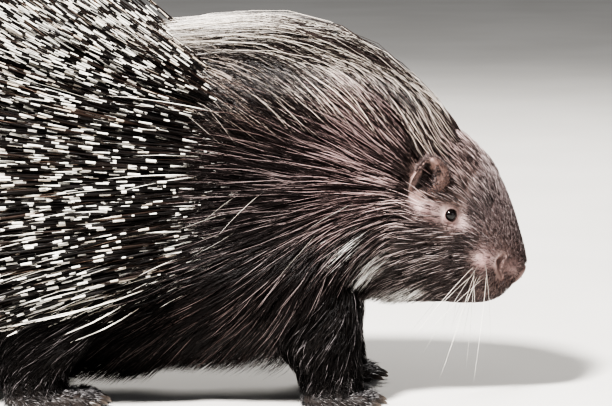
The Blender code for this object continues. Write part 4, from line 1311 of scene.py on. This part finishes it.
def build_bristles(material, dim, rng_of):
    """Long bristles of neck, shoulders, flank and belly; those of flank and belly darker, as painted shade.
    """
    shares = (0.0, 0.22, 0.50, 0.78, 1.0)
    curve = np.array([0.0, 0.46, 0.84, 1.0, 1.05])

    def by_turn(turns, values):
        """A function of place and turn that reads values over turns in degrees."""
        return lambda place, turn: np.interp(from_back(turn), turns, values)

    def lifted(base):
        """Heights over the skin: a base of place and turn, times the curve of a bristle."""
        return lambda place, turn: base(place, turn)[:, None] * curve

    def hanging(place, turn):
        """How far bristles of the belly hang down, most of all behind the fore legs."""
        deep = np.interp(
            place, (0, 4.0, 5.6, 7.0, 8.2, 9.4), (0.020, 0.026, 0.030, 0.023, 0.015, 0.004)
        )
        return smooth(118, 146, from_back(turn)) * deep

    def over_leg(place, turn):
        """How far bristles stand out where they pass over the fore leg: a bell about it."""
        degrees = from_back(turn)
        over = 0.026 * np.exp(-(((place - 9.3) / 1.15) ** 2))
        return over * smooth(92, 122, degrees) * smooth(172, 152, degrees)

    body_strands(
        "neck_bristles", 8000, (8.8, 11.6, 0.50, math.pi),
        by_turn((40, 90, 120, 150, 180), (0.088, 0.070, 0.074, 0.066, 0.050)),
        lifted(
            lambda place, turn: by_turn((40, 75, 110, 180), (0.019, 0.013, 0.011, 0.009))(place, turn)
            + over_leg(place, turn)
        ),
        shares, 0.00032, material, rng_of(1), clumps=1300, pull=0.14, lean=4.5,
    )

    def shoulder_length(place, turn):
        """Length on the shoulder, about half as much towards the quills."""
        base = np.interp(from_back(turn), (40, 90, 150, 180), (0.095, 0.082, 0.070, 0.050))
        rear = 1 - 0.52 * smooth(7.9, 6.4, place) * smooth(125, 100, from_back(turn))
        return base * rear

    def shoulder_lift(place, turn):
        """Height on the shoulder, lower towards the quills and higher over the leg."""
        base = np.interp(from_back(turn), (40, 75, 110, 180), (0.020, 0.014, 0.013, 0.012))
        return base * (1 - 0.45 * smooth(7.9, 6.4, place)) + over_leg(place, turn)

    body_strands(
        "shoulder_bristles", 7600, (6.0, 9.0, 0.55, math.pi), shoulder_length, lifted(shoulder_lift), shares,
        0.00033, material, rng_of(2), clumps=1400, pull=0.14, lean=4.5, droop=hanging,
    )

    def flank_density(place, turn):
        """Full below the quills, and half of that in front of them."""
        degrees = from_back(turn)
        return np.clip(smooth(96, 124, degrees) + 0.5 * smooth(5.4, 6.2, place), 0, 1)

    def fringe(place, turn):
        """Heights of the flank's bristles, half as much again towards the belly."""
        degrees = from_back(turn)
        size = 0.010 + 0.005 * smooth(92, 120, degrees)
        return size[:, None] * curve

    # Flank and belly bristles take the darker copy: painted shade of the underside in shadow.
    body_strands(
        "flank_bristles", 6200, (0.4, 6.3, 1.15, math.pi), by_turn((90, 130, 180), (0.070, 0.086, 0.064)),
        fringe, shares, 0.00042, dim, rng_of(3), clumps=760, pull=0.30, density=flank_density,
        droop=hanging,
    )


def crest_size(place, turn):
    """Length and height of the crest: longest over the neck, low at forehead and sides."""
    forward = np.clip((place - 7.0) / (NECK_FRONT - 7.0), 0.0, 1.0)
    side = smooth(0.10, 0.85, np.abs(turn))
    length = (0.135 + 0.100 * forward) * (1 - 0.50 * side)
    top = (0.058 + 0.012 * forward) * (1 - 0.64 * side)
    crown = smooth(10.7, 12.9, place)
    length = length * (1 - crown) + 0.080 * crown
    top = top * (1 - crown) + 0.017 * crown
    return length, top


def build_crest(material, rng):
    """Crest: long bristles from the forehead to the shoulders, that climb the neck, arch up and back."""
    shares = (0.0, 0.12, 0.28, 0.47, 0.68, 0.86, 1.0)

    def heights(place, turn):
        """Heights along a bristle: upright ones on the back's line, leaning ones at its sides."""
        upright = np.array([0, 0.30, 0.62, 0.88, 1.02, 1.04, 1.00])
        leaning = np.array([0, 0.22, 0.46, 0.70, 0.90, 1.00, 1.06])
        side = smooth(0.10, 0.60, np.abs(turn))[:, None]
        return crest_size(place, turn)[1][:, None] * (upright * (1 - side) + leaning * side)

    def length(place, turn):
        """The crest's length alone."""
        return crest_size(place, turn)[0]

    def drift(place, turn):
        """Angle towards the back, so that the crest's sides climb the neck."""
        climb = 36.0 * smooth(0.06, 0.50, np.abs(turn)) * smooth(12.6, 11.0, place)
        return np.radians(-3.0 - climb)

    body_strands(
        "crest", 5600, (6.9, 12.9, 0.0, 1.10), length, heights, shares, 0.00042, material, rng,
        clumps=700, pull=0.16, lean=5.0, drift=drift, highest=1.06,
        density=lambda place, turn: 1.0 - 0.35 * smooth(0.7, 1.10, np.abs(turn)),
    )


def cheek_length(place, turn):
    """Length of the head's hair, from the muzzle's short fur to the neck's bristles."""
    places = (11.0, 12.5, 14.0, 15.5, 17.0, 18.5, 19.0)
    over = np.interp(place, places, (0.050, 0.036, 0.024, 0.014, 0.008, 0.005, 0.004))
    top = np.interp(place, places, (0.055, 0.034, 0.019, 0.011, 0.007, 0.0045, 0.004))
    part = smooth(50, 85, from_back(turn))
    return over * part + top * (1 - part)


def bare(points):
    """Where hair is thin or absent: round the eye, below the ear, on the pad, nostril and lips."""
    here = right_side(points)
    eye = np.linalg.norm(here - EYE_CENTRE, axis=-1)
    before_eye, _ = line_distance(here, [EYE_CENTRE, EYE_CENTRE + np.array([0.018, 0.002, -0.001])])
    nostril, _ = line_distance(here, NOSTRIL_POINTS)
    mouth, _ = line_distance(here, MOUTH_POINTS)
    ahead, up, _ = ear_place(points)
    kept = smooth(0.0082, 0.0110, eye) * smooth(0.0055, 0.0075, before_eye)
    kept = kept * smooth(0.0018, 0.0048, nostril) * smooth(0.0006, 0.0022, mouth)
    kept = kept * smooth(0.75, 1.0, np.hypot(ahead, up) + 0.22 * smooth(0.3, 0.7, ahead))
    return kept * (1 - 0.86 * marks(points)["rosy"])


def build_head_hair(bristle, fur, rng_of):
    """Hair of the head: bristles of cheek and throat, and short fur of the face."""

    def head_density(place, turn):
        """Full, save where the face is bare."""
        return bare(body_point(place, turn))

    def hanging(place, turn):
        """How far bristles of the throat hang down."""
        return 0.013 * smooth(128, 150, from_back(turn)) * smooth(15.0, 12.6, place)

    def lifted(base, share, curve):
        """Heights over the skin: the base and a share of the length, less under the chin."""

        def heights(place, turn):
            under = 1 - 0.30 * smooth(130, 160, from_back(turn))
            return ((base + share * cheek_length(place, turn)) * under)[:, None] * np.array(curve)

        return heights

    body_strands(
        "cheek_bristles", 7200, (11.0, 14.9, 0.0, math.pi), cheek_length,
        lifted(0.0010, 0.15, (0.0, 0.55, 1.0, 1.2)), (0.0, 0.30, 0.65, 1.0), 0.00031,
        bristle, rng_of(5), slot="face", clumps=1600, pull=0.15, lean=5.0, density=head_density,
        droop=hanging,
    )
    body_strands(
        "face_fur", 14500, (14.0, 18.95, 0.0, math.pi), cheek_length,
        lifted(0.0005, 0.12, (0.0, 0.8, 1.2)), (0.0, 0.5, 1.0), 0.00022, fur, rng_of(6), slot="face",
        density=head_density, lean=9.0,
    )


def build_ear_hair(skin, fur, dark):
    """Short hair on the ears' flaps, and dark hair that grows out of their openings."""
    points, normals = mesh_points(skin.data), mesh_points(skin.data, "normal")
    ahead, up, out = ear_place(points)
    around = np.hypot(ahead, up)
    near_ear = (around < 1.05) & (out > -0.95) & (out < 0.6)
    near_ear &= np.linalg.norm(right_side(points) - ear_frame(-1)[0], axis=-1) < 0.05
    on_flap = near_ear & ((ahead > 0.22) | ((around > 0.90) & (up > 0.1)))
    in_opening = near_ear & (ahead < 0.34) & (ahead > -0.75) & (around < 0.80)
    for name, chosen, count, reach, material, number in (
        ("ear_fur", on_flap, 3000, 0.0056, fur, 90),
        ("ear_tufts", in_opening, 420, 0.0085, dark, 91),
    ):
        rng = np.random.default_rng(SEED + number)
        index = rng.choice(np.flatnonzero(chosen), count)
        root = points[index] + rng.normal(0, 0.0004, (count, 3))
        normal = normals[index]
        side = np.sign(root[:, 1])
        way = np.stack([np.full(count, -0.55), side * 0.25, np.full(count, 0.70)], axis=-1)
        if material is dark:
            way = np.stack([np.full(count, 0.15), side * 0.80, np.full(count, 0.35)], axis=-1)
        way = way + rng.normal(0, 0.22, (count, 3))
        way = unit(way - normal * ((way * normal).sum(-1) - 0.28)[:, None])
        length = reach * rng.uniform(0.6, 1.2, count)
        shares = np.array([0.0, 0.5, 1.0])
        paths = root[:, None] + along_way(way, shares, length)
        paths[:, 0] -= normal * 0.0008
        chart = 0.04 + 0.92 * np.stack([(ahead[index] + 1) / 2, (up[index] + 1) / 2], axis=-1)
        chart[:, 0] = chart[:, 0] * 0.48 + 0.5 * (side > 0)
        piece = strand_piece(
            name, paths, normal, taper((0.9, 0.85, 0.2), np.full(count, 0.00024)),
            np.clip(chart, 0.01, 0.99), [material], lots=rng.random(count),
            extra=unmarked(count, 0.6),
        )
        finish_piece(piece, "ear_skin")


def quill_field(place, turn, rng):
    """Root point, normal, direction and length of quills; the foremost ones are short."""
    count = len(place)
    degrees = from_back(turn)
    rise = np.interp(degrees, QUILL_TURNS, QUILL_RISE)
    rise = np.where(rise > 0, rise * rows_at(QUILL_RISE_SHARE, place)[:, 0], rise)
    rise = np.radians(rise + np.clip(rng.normal(0, 2.6, count), -4.5, 4.5))
    astray = np.clip(rng.normal(0, 2.6, count), -4.5, 4.5)
    splay = np.radians(np.interp(degrees, QUILL_TURNS, QUILL_SPLAY) + astray)
    length = np.interp(degrees, QUILL_TURNS, QUILL_LENGTH)
    length = length * rows_at(QUILL_LENGTH_SHARE, place)[:, 0]
    behind = np.interp(degrees, QUILL_TURNS, QUILL_FRONT) - place
    low = smooth(38, 60, degrees)
    length = length * (1 - (0.62 * low + 0.12 * (1 - low)) * smooth(1.3, 0.0, behind))
    side = np.where(turn >= 0, -1.0, 1.0)
    ahead = np.stack(
        [-np.cos(rise) * np.cos(splay), side * np.sin(splay), np.sin(rise) * np.cos(splay)], axis=-1
    )
    point, normal, _, _ = body_frame(place, turn)
    lacking = np.maximum(0.15 - (ahead * normal).sum(-1), 0.0)
    return point, normal, unit(ahead + normal * lacking[:, None]), length, smooth(-0.1, 1.3, behind)


def quill_places(count, rng):
    """Places and turns of quills behind their ragged front edge."""
    place, turn = scattered(
        int(count * 1.3), 0.25, 7.2, 0.0, math.radians(130), rng,
        lambda place, turn: 0.62 + 0.38 * smooth(0.30, 0.80, np.abs(turn)),
    )
    edge = np.interp(from_back(turn), QUILL_TURNS, QUILL_FRONT)
    keep = place < edge + rng.normal(0, 0.10, len(place))
    return place[keep][:count], turn[keep][:count]


def build_quills(dark, ivory, rng):
    """Banded quills: spindles with dark and ivory bands between their rings.

    A quill's rings stand where its bands meet, so it has its class's number of bands. Their
    starts and ends wander a little about even steps, and the whole quill bends slightly down.
    """
    place, turn = quill_places(4300, rng)
    point, normal, ahead, length, behind = quill_field(place, turn, rng)
    length = length * rng.uniform(0.66, 1.08, len(place))
    for name, shortest, longest, bands, ivory_share, ivory_tips in QUILL_CLASSES:
        chosen = (length >= shortest) & (length < longest)
        count = int(chosen.sum())
        size = length[chosen, None]
        first = rng.uniform(0.006, 0.034, (count, 1))
        end = rng.uniform(0.15, 0.55, (count, 1))
        duty = ivory_share * rng.uniform(0.75, 1.25, (count, 1))
        period = (size - first) / (bands - 1 + duty + end)
        steps = np.arange(bands)[None]
        wobble = rng.normal(0, 0.05, (2, count, bands))
        starts = first + period * (steps + wobble[0])
        ends = first + period * (steps + duty + wobble[1])
        edges = np.stack([starts, ends], axis=-1).reshape(count, 2 * bands)
        share = np.concatenate([np.zeros((count, 1)), edges / size, np.ones((count, 1))], axis=1)
        share[:, 1:-1] = np.clip(share[:, 1:-1], 0.012, 0.975)
        share = np.sort(share, axis=1)
        radius = 0.00185 * rng.uniform(0.58, 1.10, count) * (0.50 + 0.50 * behind[chosen])
        radius *= np.interp(size[:, 0], (0.04, 0.10, 0.15, 0.25), (1.00, 1.18, 1.10, 0.86))
        thick = np.interp(share, (0, 0.06, 0.30, 0.62, 0.86, 1.0), (0.50, 0.82, 1.0, 0.90, 0.48, 0.05))
        bend = rng.normal(0, 0.014, (count, 3)) + np.array([0.0, 0.0, -0.02])
        root, out = point[chosen], normal[chosen]
        paths = (
            root[:, None]
            + along_way(ahead[chosen], share, size[:, 0])
            + along_way(out, 0.05 * share * (1 - share), size[:, 0])
            + along_way(bend, share**2, size[:, 0])
        )
        paths[:, 0] -= out * QUILL_ROOT
        slots = np.tile(np.arange(2 * bands + 1) % 2, (count, 1))
        slots[rng.random(count) < ivory_tips, -1] = 1
        slots[rng.random(count) < 0.22, 1] = 0
        if bands > 1:
            slots[rng.random(count) < 0.14, -4] = 0
        piece = strand_piece(
            name, paths, out, thick * radius[:, None], body_chart(place[chosen], turn[chosen]),
            [dark, ivory], sides=4, lots=rng.random(count), slots=slots,
        )
        finish_piece(piece, "quill_coat")


def build_under_quills(material, rng):
    """Thin dark bristles that fill in between the quills."""
    place, turn = quill_places(4600, rng)
    count = len(place)
    point, normal, ahead, length, _ = quill_field(place, turn, rng)
    length = length * rng.uniform(0.45, 0.93, count)
    shares = np.array([0.0, 0.35, 0.70, 1.0])
    bend = rng.normal(0, 0.04, (count, 3)) + np.array([0.0, 0.0, -0.05])
    paths = point[:, None] + along_way(ahead, shares, length) + along_way(bend, shares**2, length)
    paths[:, 0] -= normal * QUILL_ROOT
    radius = 0.00062 * rng.uniform(0.7, 1.2, count)
    piece = strand_piece(
        "quill_bristles", paths, normal, taper((0.9, 1.0, 0.75, 0.2), radius),
        body_chart(place, turn), [material], lots=rng.random(count),
        extra=unmarked(count, marks(point)["warm"]),
    )
    finish_piece(piece, "quill_coat")


def build_long_quills(material, rng):
    """Long, thin, pale quills that bend over the banded ones, and a few stray pale hairs."""
    place, turn = quill_places(120, rng)
    low = rng.uniform(88, 126, 60) * np.pi / 180 * rng.choice((-1.0, 1.0), 60)
    place = np.concatenate([place, rng.uniform(2.2, 6.3, 60)])
    turn = np.concatenate([turn, low])
    count = len(place)
    point, normal, ahead, length, _ = quill_field(place, turn, rng)
    length = length * rng.uniform(0.92, 1.06, count)
    shares = np.linspace(0, 1, 8)
    bend = rng.normal(0, 0.03, (count, 3)) + np.array([0.0, 0.0, -0.10])
    paths = (
        point[:, None]
        + along_way(ahead, shares, length)
        + along_way(normal, 0.04 * shares, length)
        + along_way(bend, shares**2, length)
    )
    paths[:, 0] -= normal * QUILL_ROOT
    radius = 0.00060 * rng.uniform(0.7, 1.3, count)
    piece = strand_piece(
        "long_quills", paths, normal,
        taper(np.interp(shares, (0, 0.3, 1), (0.7, 1.0, 0.2)), radius),
        body_chart(place, turn), [material], sides=4, lots=rng.random(count),
        extra=unmarked(count),
    )
    finish_piece(piece, "quill_coat")

    count = 26
    turn = np.radians(rng.uniform(104, 124, count)) * np.where(np.arange(count) % 2 == 0, 1.0, -1.0)
    place = rng.uniform(3.6, 5.9, count)
    length = rng.uniform(0.12, 0.20, count)
    lift = rng.uniform(0.021, 0.032, count)[:, None] * np.interp(shares, (0, 0.35, 1), (0, 0.75, 1.0))
    lift[:, 0] = -BRISTLE_ROOT
    sweep = np.radians(rng.normal(-4, 5, count))
    paths, normals = lie_along(place, turn, length, lift, shares, sweep)
    piece = strand_piece(
        "sweeping_quills", paths, normals,
        taper(np.interp(shares, (0, 0.4, 1), (0.7, 1.0, 0.2)), np.full(count, 0.00080)),
        body_chart(place, turn), [material], sides=4, lots=rng.random(count),
        extra=unmarked(count),
    )
    finish_piece(piece, "quill_coat")

    count = 14
    place, turn = scattered(count, 7.0, 10.5, 0.6, 1.7, rng)
    length = rng.uniform(0.045, 0.085, count)
    lift = rng.uniform(0.018, 0.034, count)[:, None] * np.interp(shares, (0, 0.5, 1), (0, 0.75, 1.0))
    lift[:, 0] = -BRISTLE_ROOT
    paths, normals = lie_along(place, turn, length, lift, shares, np.radians(rng.normal(14, 14, count)))
    piece = strand_piece(
        "stray_hairs", paths, normals, taper(np.linspace(1.0, 0.3, 8), np.full(count, 0.00020)),
        body_chart(place, turn), [material], sides=4, lots=rng.random(count),
        extra=unmarked(count),
    )
    finish_piece(piece, "bristle_coat")


def leg_surface(rows, level, turn, height):
    """Point of a leg at a level counted in rows and a turn about it."""
    at = rows_at(rows, level)
    z, x, y, long, wide = (at[..., step] for step in range(5))
    return np.stack(
        [x + (long + height) * np.cos(turn), y + (wide + height) * np.sin(turn), z], axis=-1
    )


def build_leg_fur(material):
    """Hair of the legs, down along them and a little back."""
    shares = (0.0, 0.30, 0.65, 1.0)
    lift = np.array([-0.0055, 0.0005, 0.0030, 0.0042])
    parts = {"paths": [], "normals": [], "radius": [], "chart": [], "lots": []}
    for number, limb in enumerate(LIMBS):
        rng = np.random.default_rng(SEED + 40 + number)
        _, rows_of, x, side, _, _ = limb
        rows = rows_of(x + MIDDLE_SHIFT[0], side)
        count = 2000
        level = rng.uniform(0.6, 4.4, count)
        turn = rng.uniform(0, 2 * math.pi, count)
        length = np.interp(level, (0, 1.5, 3.0, 4.5), (0.052, 0.044, 0.026, 0.012))
        length = length * rng.uniform(0.7, 1.15, count)
        lean = rng.normal(0, 0.14, count)
        up = rng.uniform(0.6, 1.3, count)
        steps = []
        here, at = level.copy(), turn.copy()
        for index, share in enumerate(shares):
            steps.append(leg_surface(rows, here, at, lift[index] * (up if index else 1.0)))
            if index + 1 < len(shares):
                reach = (shares[index + 1] - share) * length
                run = leg_surface(rows, here + 0.05, at, 0) - leg_surface(rows, here - 0.05, at, 0)
                scale = np.linalg.norm(run, axis=-1) / 0.1
                here = np.clip(here + reach / np.maximum(scale, 0.008), 0, 5)
                at = at + reach * (lean + 0.62 * np.sin(at)) / 0.03
        paths = np.stack(steps, axis=1)
        outwards = np.stack([np.cos(turn), np.sin(turn), 0 * turn], axis=-1)
        parts["paths"].append(paths)
        parts["normals"].append(outwards)
        parts["radius"].append(0.00040 * rng.uniform(0.75, 1.2, count))
        parts["chart"].append(chart_of((number + turn / (2 * math.pi) % 1.0) / 4, level / 5))
        parts["lots"].append(rng.random(count))
    whole = {key: np.concatenate(value) for key, value in parts.items()}
    count = len(whole["lots"])
    piece = strand_piece(
        "leg_fur", whole["paths"], whole["normals"],
        taper((0.8, 1.0, 0.75, 0.25), whole["radius"]), whole["chart"], [material],
        lots=whole["lots"],
        extra=unmarked(count),
    )
    finish_piece(piece, "leg_fur")


def build_foot_fur(skin, material):
    """Short brush of hair on the feet, rooted on the skin's own points."""
    points, normals = mesh_points(skin.data), mesh_points(skin.data, "normal")
    rng = np.random.default_rng(SEED + 60)
    on_foot = (points[:, 2] > 0.0035) & (points[:, 2] < 0.036) & (normals[:, 2] > -0.35)
    on_foot &= np.abs(points[:, 1]) > 0.03
    chosen = rng.choice(np.flatnonzero(on_foot), 6000)
    root = points[chosen] + rng.normal(0, 0.0007, (len(chosen), 3))
    normal = normals[chosen]
    way = np.array([0.75, 0.0, -0.35]) + rng.normal(0, 0.25, root.shape)
    way = unit(way - normal * (way * normal).sum(-1, keepdims=True))
    length = 0.0085 * rng.uniform(0.6, 1.2, len(root))
    shares = np.array([0.0, 0.5, 1.0])
    height = np.array([-0.0012, 0.0022, 0.0030])
    paths = root[:, None] + along_way(way, shares, length) + normal[:, None] * height[None, :, None]
    paths[..., 2] = np.maximum(paths[..., 2], 0.0012)
    reach = root[:, 0] - points[:, 0].min()
    around = (np.arctan2(root[:, 2] - 0.008, root[:, 1]) / math.pi) % 1.0
    chart = chart_of(np.clip(reach / 0.86, 0, 1), np.clip(around, 0, 1))
    piece = strand_piece(
        "foot_fur", paths, normal, taper((0.9, 0.85, 0.2), np.full(len(root), 0.00030)),
        chart, [material], lots=rng.random(len(root)),
        extra=unmarked(len(root)),
    )
    finish_piece(piece, "foot_skin")


def build_tail_fur(bristle, ivory):
    """Bristles of the tail and the open white rattle quills at its end."""
    rng = np.random.default_rng(SEED + 70)
    ahead = unit(TAIL_TIP - TAIL_ROOT)
    across = np.array([0.0, 1.0, 0.0])
    up = np.cross(ahead, across)
    long = np.linalg.norm(TAIL_TIP - TAIL_ROOT)

    def pointing(count):
        """Random turns about the tail, and the ways out at them."""
        turn = rng.uniform(0, 2 * math.pi, count)
        return turn, np.cos(turn)[:, None] * across + np.sin(turn)[:, None] * up

    count = 1100
    turn, out = pointing(count)
    part = rng.uniform(-0.1, 0.95, count)
    radius = TAIL_RADIUS * np.interp(part, (0, 0.4, 0.8, 1.0), (1.0, 0.85, 0.55, 0.2))
    root = TAIL_ROOT + ahead * (long * part)[:, None] + out * (radius - 0.003)[:, None]
    length = 0.038 * rng.uniform(0.7, 1.1, count)
    shares = np.array([0.0, 0.3, 0.65, 1.0])
    paths = root[:, None] + along_way(ahead[None], shares, length) + along_way(out, 0.22 * shares, length)
    chart = chart_of(np.clip(part, 0, 1), turn / (2 * math.pi))
    piece = strand_piece(
        "tail_bristles", paths, out, taper((0.9, 1.0, 0.7, 0.2), np.full(count, 0.0006)), chart,
        [bristle], lots=rng.random(count), extra=unmarked(count),
    )
    finish_piece(piece, "bristle_coat")

    count = 26
    turn, out = pointing(count)
    spread = np.sqrt(rng.random(count))
    way = unit(ahead + out * (0.50 * spread)[:, None])
    root = TAIL_TIP - ahead * 0.014 + out * (TAIL_RADIUS * 0.34 * spread)[:, None]
    length = 0.044 * rng.uniform(0.75, 1.1, count)
    shares = np.array([0.0, 0.30, 0.48, 0.60, 0.95, 1.0])
    paths = root[:, None] + along_way(way, shares, length)
    chart = chart_of(spread, turn / (2 * math.pi))
    piece = strand_piece(
        "rattle_quills", paths, out,
        taper((0.30, 0.34, 0.80, 1.0, 0.96, 0.0), np.full(count, 0.0026)), chart, [ivory],
        sides=10, lots=rng.random(count) * 0.5,
        extra=unmarked(count),
    )
    finish_piece(piece, "quill_coat")


def build_whiskers(material):
    """Long stiff whiskers of the muzzle, that sweep out, back and down."""
    rng = np.random.default_rng(SEED + 80)
    count = 24
    side = np.where(np.arange(count) % 2 == 0, -1.0, 1.0)
    x = 0.278 + rng.uniform(-0.009, 0.011, count)
    z = 0.143 + rng.uniform(-0.013, 0.009, count)
    found = [face_point(at_x, at_z) for at_x, at_z in zip(x, z)]
    flip = np.stack([np.ones(count), -side, np.ones(count)], axis=-1)
    root = np.array([point for point, _ in found]) * flip
    normal = np.array([normal for _, normal in found]) * flip
    fall = np.radians(22 + 74 * (np.arange(count) // 2) / (count / 2 - 1) + rng.normal(0, 4, count))
    way = np.stack([-np.cos(fall), side * 0.30, -np.sin(fall)], axis=-1)
    way = unit(way + normal * 0.22)
    length = rng.uniform(0.055, 0.105, count)
    shares = np.linspace(0, 1, 9)
    sag = np.array([-0.06, 0.0, -0.20])
    paths = root[:, None] + along_way(way, shares, length) + along_way(sag[None], shares**2, length)
    chart = chart_of(x / 0.34, (z * side + 1) / 2)
    piece = strand_piece(
        "whiskers", paths, normal, taper(np.linspace(1.0, 0.2, 9), np.full(count, 0.00026)), chart,
        [material], sides=5, lots=rng.random(count),
        extra=unmarked(count),
    )
    finish_piece(piece, "face")


# Studio


def build_studio():
    """Pale floor, key light from the upper left, fill, back light, and the photo's camera."""
    mesh = bpy.data.meshes.new("floor")
    half = 14.0
    corners = [(-half, -half, 0), (half, -half, 0), (half, half, 0), (-half, half, 0)]
    mesh.from_pydata(corners, [], [(0, 1, 2, 3)])
    floor = bpy.data.objects.new("floor", mesh)
    floor.location.z = -FLOOR_GAP
    bpy.context.scene.collection.objects.link(floor)
    made, tree, shader = new_material("floor_paper", 0.9, 0.2)
    grain = stepped(tree, noise_on(tree, 3.0), 0.3, 0.7)
    shade = colour_mix(tree, grain, (0.62, 0.60, 0.57, 1), (0.66, 0.64, 0.61, 1))
    tree.links.new(shade, shader.inputs["Base Color"])
    mesh.materials.append(made)

    world = bpy.data.worlds.new("studio")
    world.use_nodes = True
    world.node_tree.nodes["Background"].inputs["Color"].default_value = (0.80, 0.82, 0.85, 1)
    world.node_tree.nodes["Background"].inputs["Strength"].default_value = 0.22
    bpy.context.scene.world = world
    bpy.context.scene.view_settings.look = "AgX - High Contrast"

    target = Vector((0.12, 0.0, 0.20))
    for name, place, size, power, colour in (
        ("key", (-0.85, -1.65, 2.6), 0.38, 362.0, (1.0, 0.985, 0.965)),
        ("fill", (2.4, -2.1, 1.1), 2.0, 16.0, (0.95, 0.96, 1.0)),
        ("back", (0.2, 2.3, 2.1), 1.2, 75.0, (1.0, 0.98, 0.95)),
    ):
        lamp = bpy.data.lights.new(name, "AREA")
        lamp.size = size
        lamp.energy = power
        lamp.color = colour
        holder = bpy.data.objects.new(name, lamp)
        holder.location = place
        holder.rotation_euler = (target - Vector(place)).to_track_quat("-Z", "Y").to_euler()
        bpy.context.scene.collection.objects.link(holder)

    elevation, half_angle, distance = math.radians(8.0), math.radians(6.1), 3.0
    aim = Vector((MIDDLE_SHIFT[0] + 0.100, 0.0, 0.2026))
    back = Vector((0.0, -math.cos(elevation), math.sin(elevation)))
    camera = bpy.data.objects.new("camera", bpy.data.cameras.new("camera"))
    camera.location = aim + back * distance
    camera.rotation_euler = (-back).to_track_quat("-Z", "Y").to_euler()
    camera.data.sensor_width = 36.0
    camera.data.lens = camera.data.sensor_width / 2 / math.tan(half_angle)
    bpy.context.scene.collection.objects.link(camera)
    bpy.context.scene.camera = camera


def main():
    """Studio, materials, skin, eyes, claws and coat, each part of the coat with its own seed."""

    def rng_of(number):
        """A generator of random numbers with a seed of its own."""
        return np.random.default_rng(SEED + number)

    build_studio()
    # Light hairs of this bristle: painted glints of sunlight on dark hair.
    bristle = hair_material(
        "bristle", (0.005, 0.0036, 0.0034), (0.012, 0.0082, 0.0080), (0.030, 0.021, 0.020),
        (0.240, 0.194, 0.189), 0.115, 0.85, 0.34, specular=0.28,
    )
    # A darker, duller copy of the bristle for flank and belly: painted shade of the underside.
    dim = hair_material(
        "flank_bristle", (0.002, 0.0015, 0.0015), (0.005, 0.0036, 0.0034), (0.010, 0.0075, 0.0070),
        (0.070, 0.058, 0.056), 0.08, 0.90, 0.42, specular=0.12,
    )
    crest = hair_material(
        "crest_bristle", (0.011, 0.008, 0.007), (0.028, 0.0195, 0.0175), (0.900, 0.885, 0.830),
        (0.680, 0.645, 0.575), 0.25, 1.02, 0.36, 1.20,
    )
    # Light hairs of the cheek: painted highlights on dark bristles.
    cheek = hair_material(
        "cheek_bristle", (0.010, 0.0072, 0.0068), (0.032, 0.023, 0.022), (0.100, 0.078, 0.075),
        (0.420, 0.350, 0.335), 0.26, 0.78, 0.36,
    )
    # Light hairs of the face fur: partly painted highlight lines, partly paler hair.
    fur = hair_material(
        "face_fur", (0.030, 0.021, 0.0200), (0.070, 0.048, 0.0465), (0.136, 0.102, 0.099),
        (0.280, 0.229, 0.222), 0.14, 0.60, 0.45,
    )
    # Light hairs of the legs: painted glints of sunlight on black hair.
    leg = hair_material(
        "leg_fur", (0.003, 0.0024, 0.0024), (0.007, 0.0055, 0.0055), (0.015, 0.012, 0.012),
        (0.150, 0.134, 0.136), 0.13, 0.80, 0.40, specular=0.16,
    )
    foot = hair_material(
        "foot_fur", (0.012, 0.011, 0.011), (0.040, 0.037, 0.038), (0.150, 0.142, 0.145),
        (0.320, 0.305, 0.305), 0.30, 0.45, 0.42, specular=0.3,
    )
    white = hair_material(
        "white_hair", (0.420, 0.370, 0.320), (0.700, 0.650, 0.570), (0.800, 0.760, 0.690),
        (0.860, 0.820, 0.750), 0.5, 0.60, 0.36, sheen_and_ashen=0,
    )
    under = hair_material(
        "quill_bristle", (0.006, 0.004, 0.004), (0.014, 0.009, 0.007), (0.030, 0.019, 0.014),
        (0.110, 0.070, 0.050), 0.12, 0.70, 0.32,
    )
    dark = quill_material("quill_dark", (0.006, 0.0042, 0.0038), (0.026, 0.015, 0.011), 0.36, 0.30)
    ivory = quill_material("quill_ivory", (0.900, 0.870, 0.800), (0.560, 0.470, 0.380), 0.30, 0.5)

    skin = build_skin()
    build_eyes(eye_material())
    build_claws(claw_material())
    build_bristles(bristle, dim, rng_of)
    build_crest(crest, rng_of(4))
    build_head_hair(cheek, fur, rng_of)
    build_ear_hair(skin, fur, bristle)
    build_quills(dark, ivory, rng_of(7))
    build_under_quills(under, rng_of(8))
    build_long_quills(white, rng_of(9))
    build_leg_fur(leg)
    build_foot_fur(skin, foot)
    build_tail_fur(bristle, white)
    build_whiskers(white)


main()
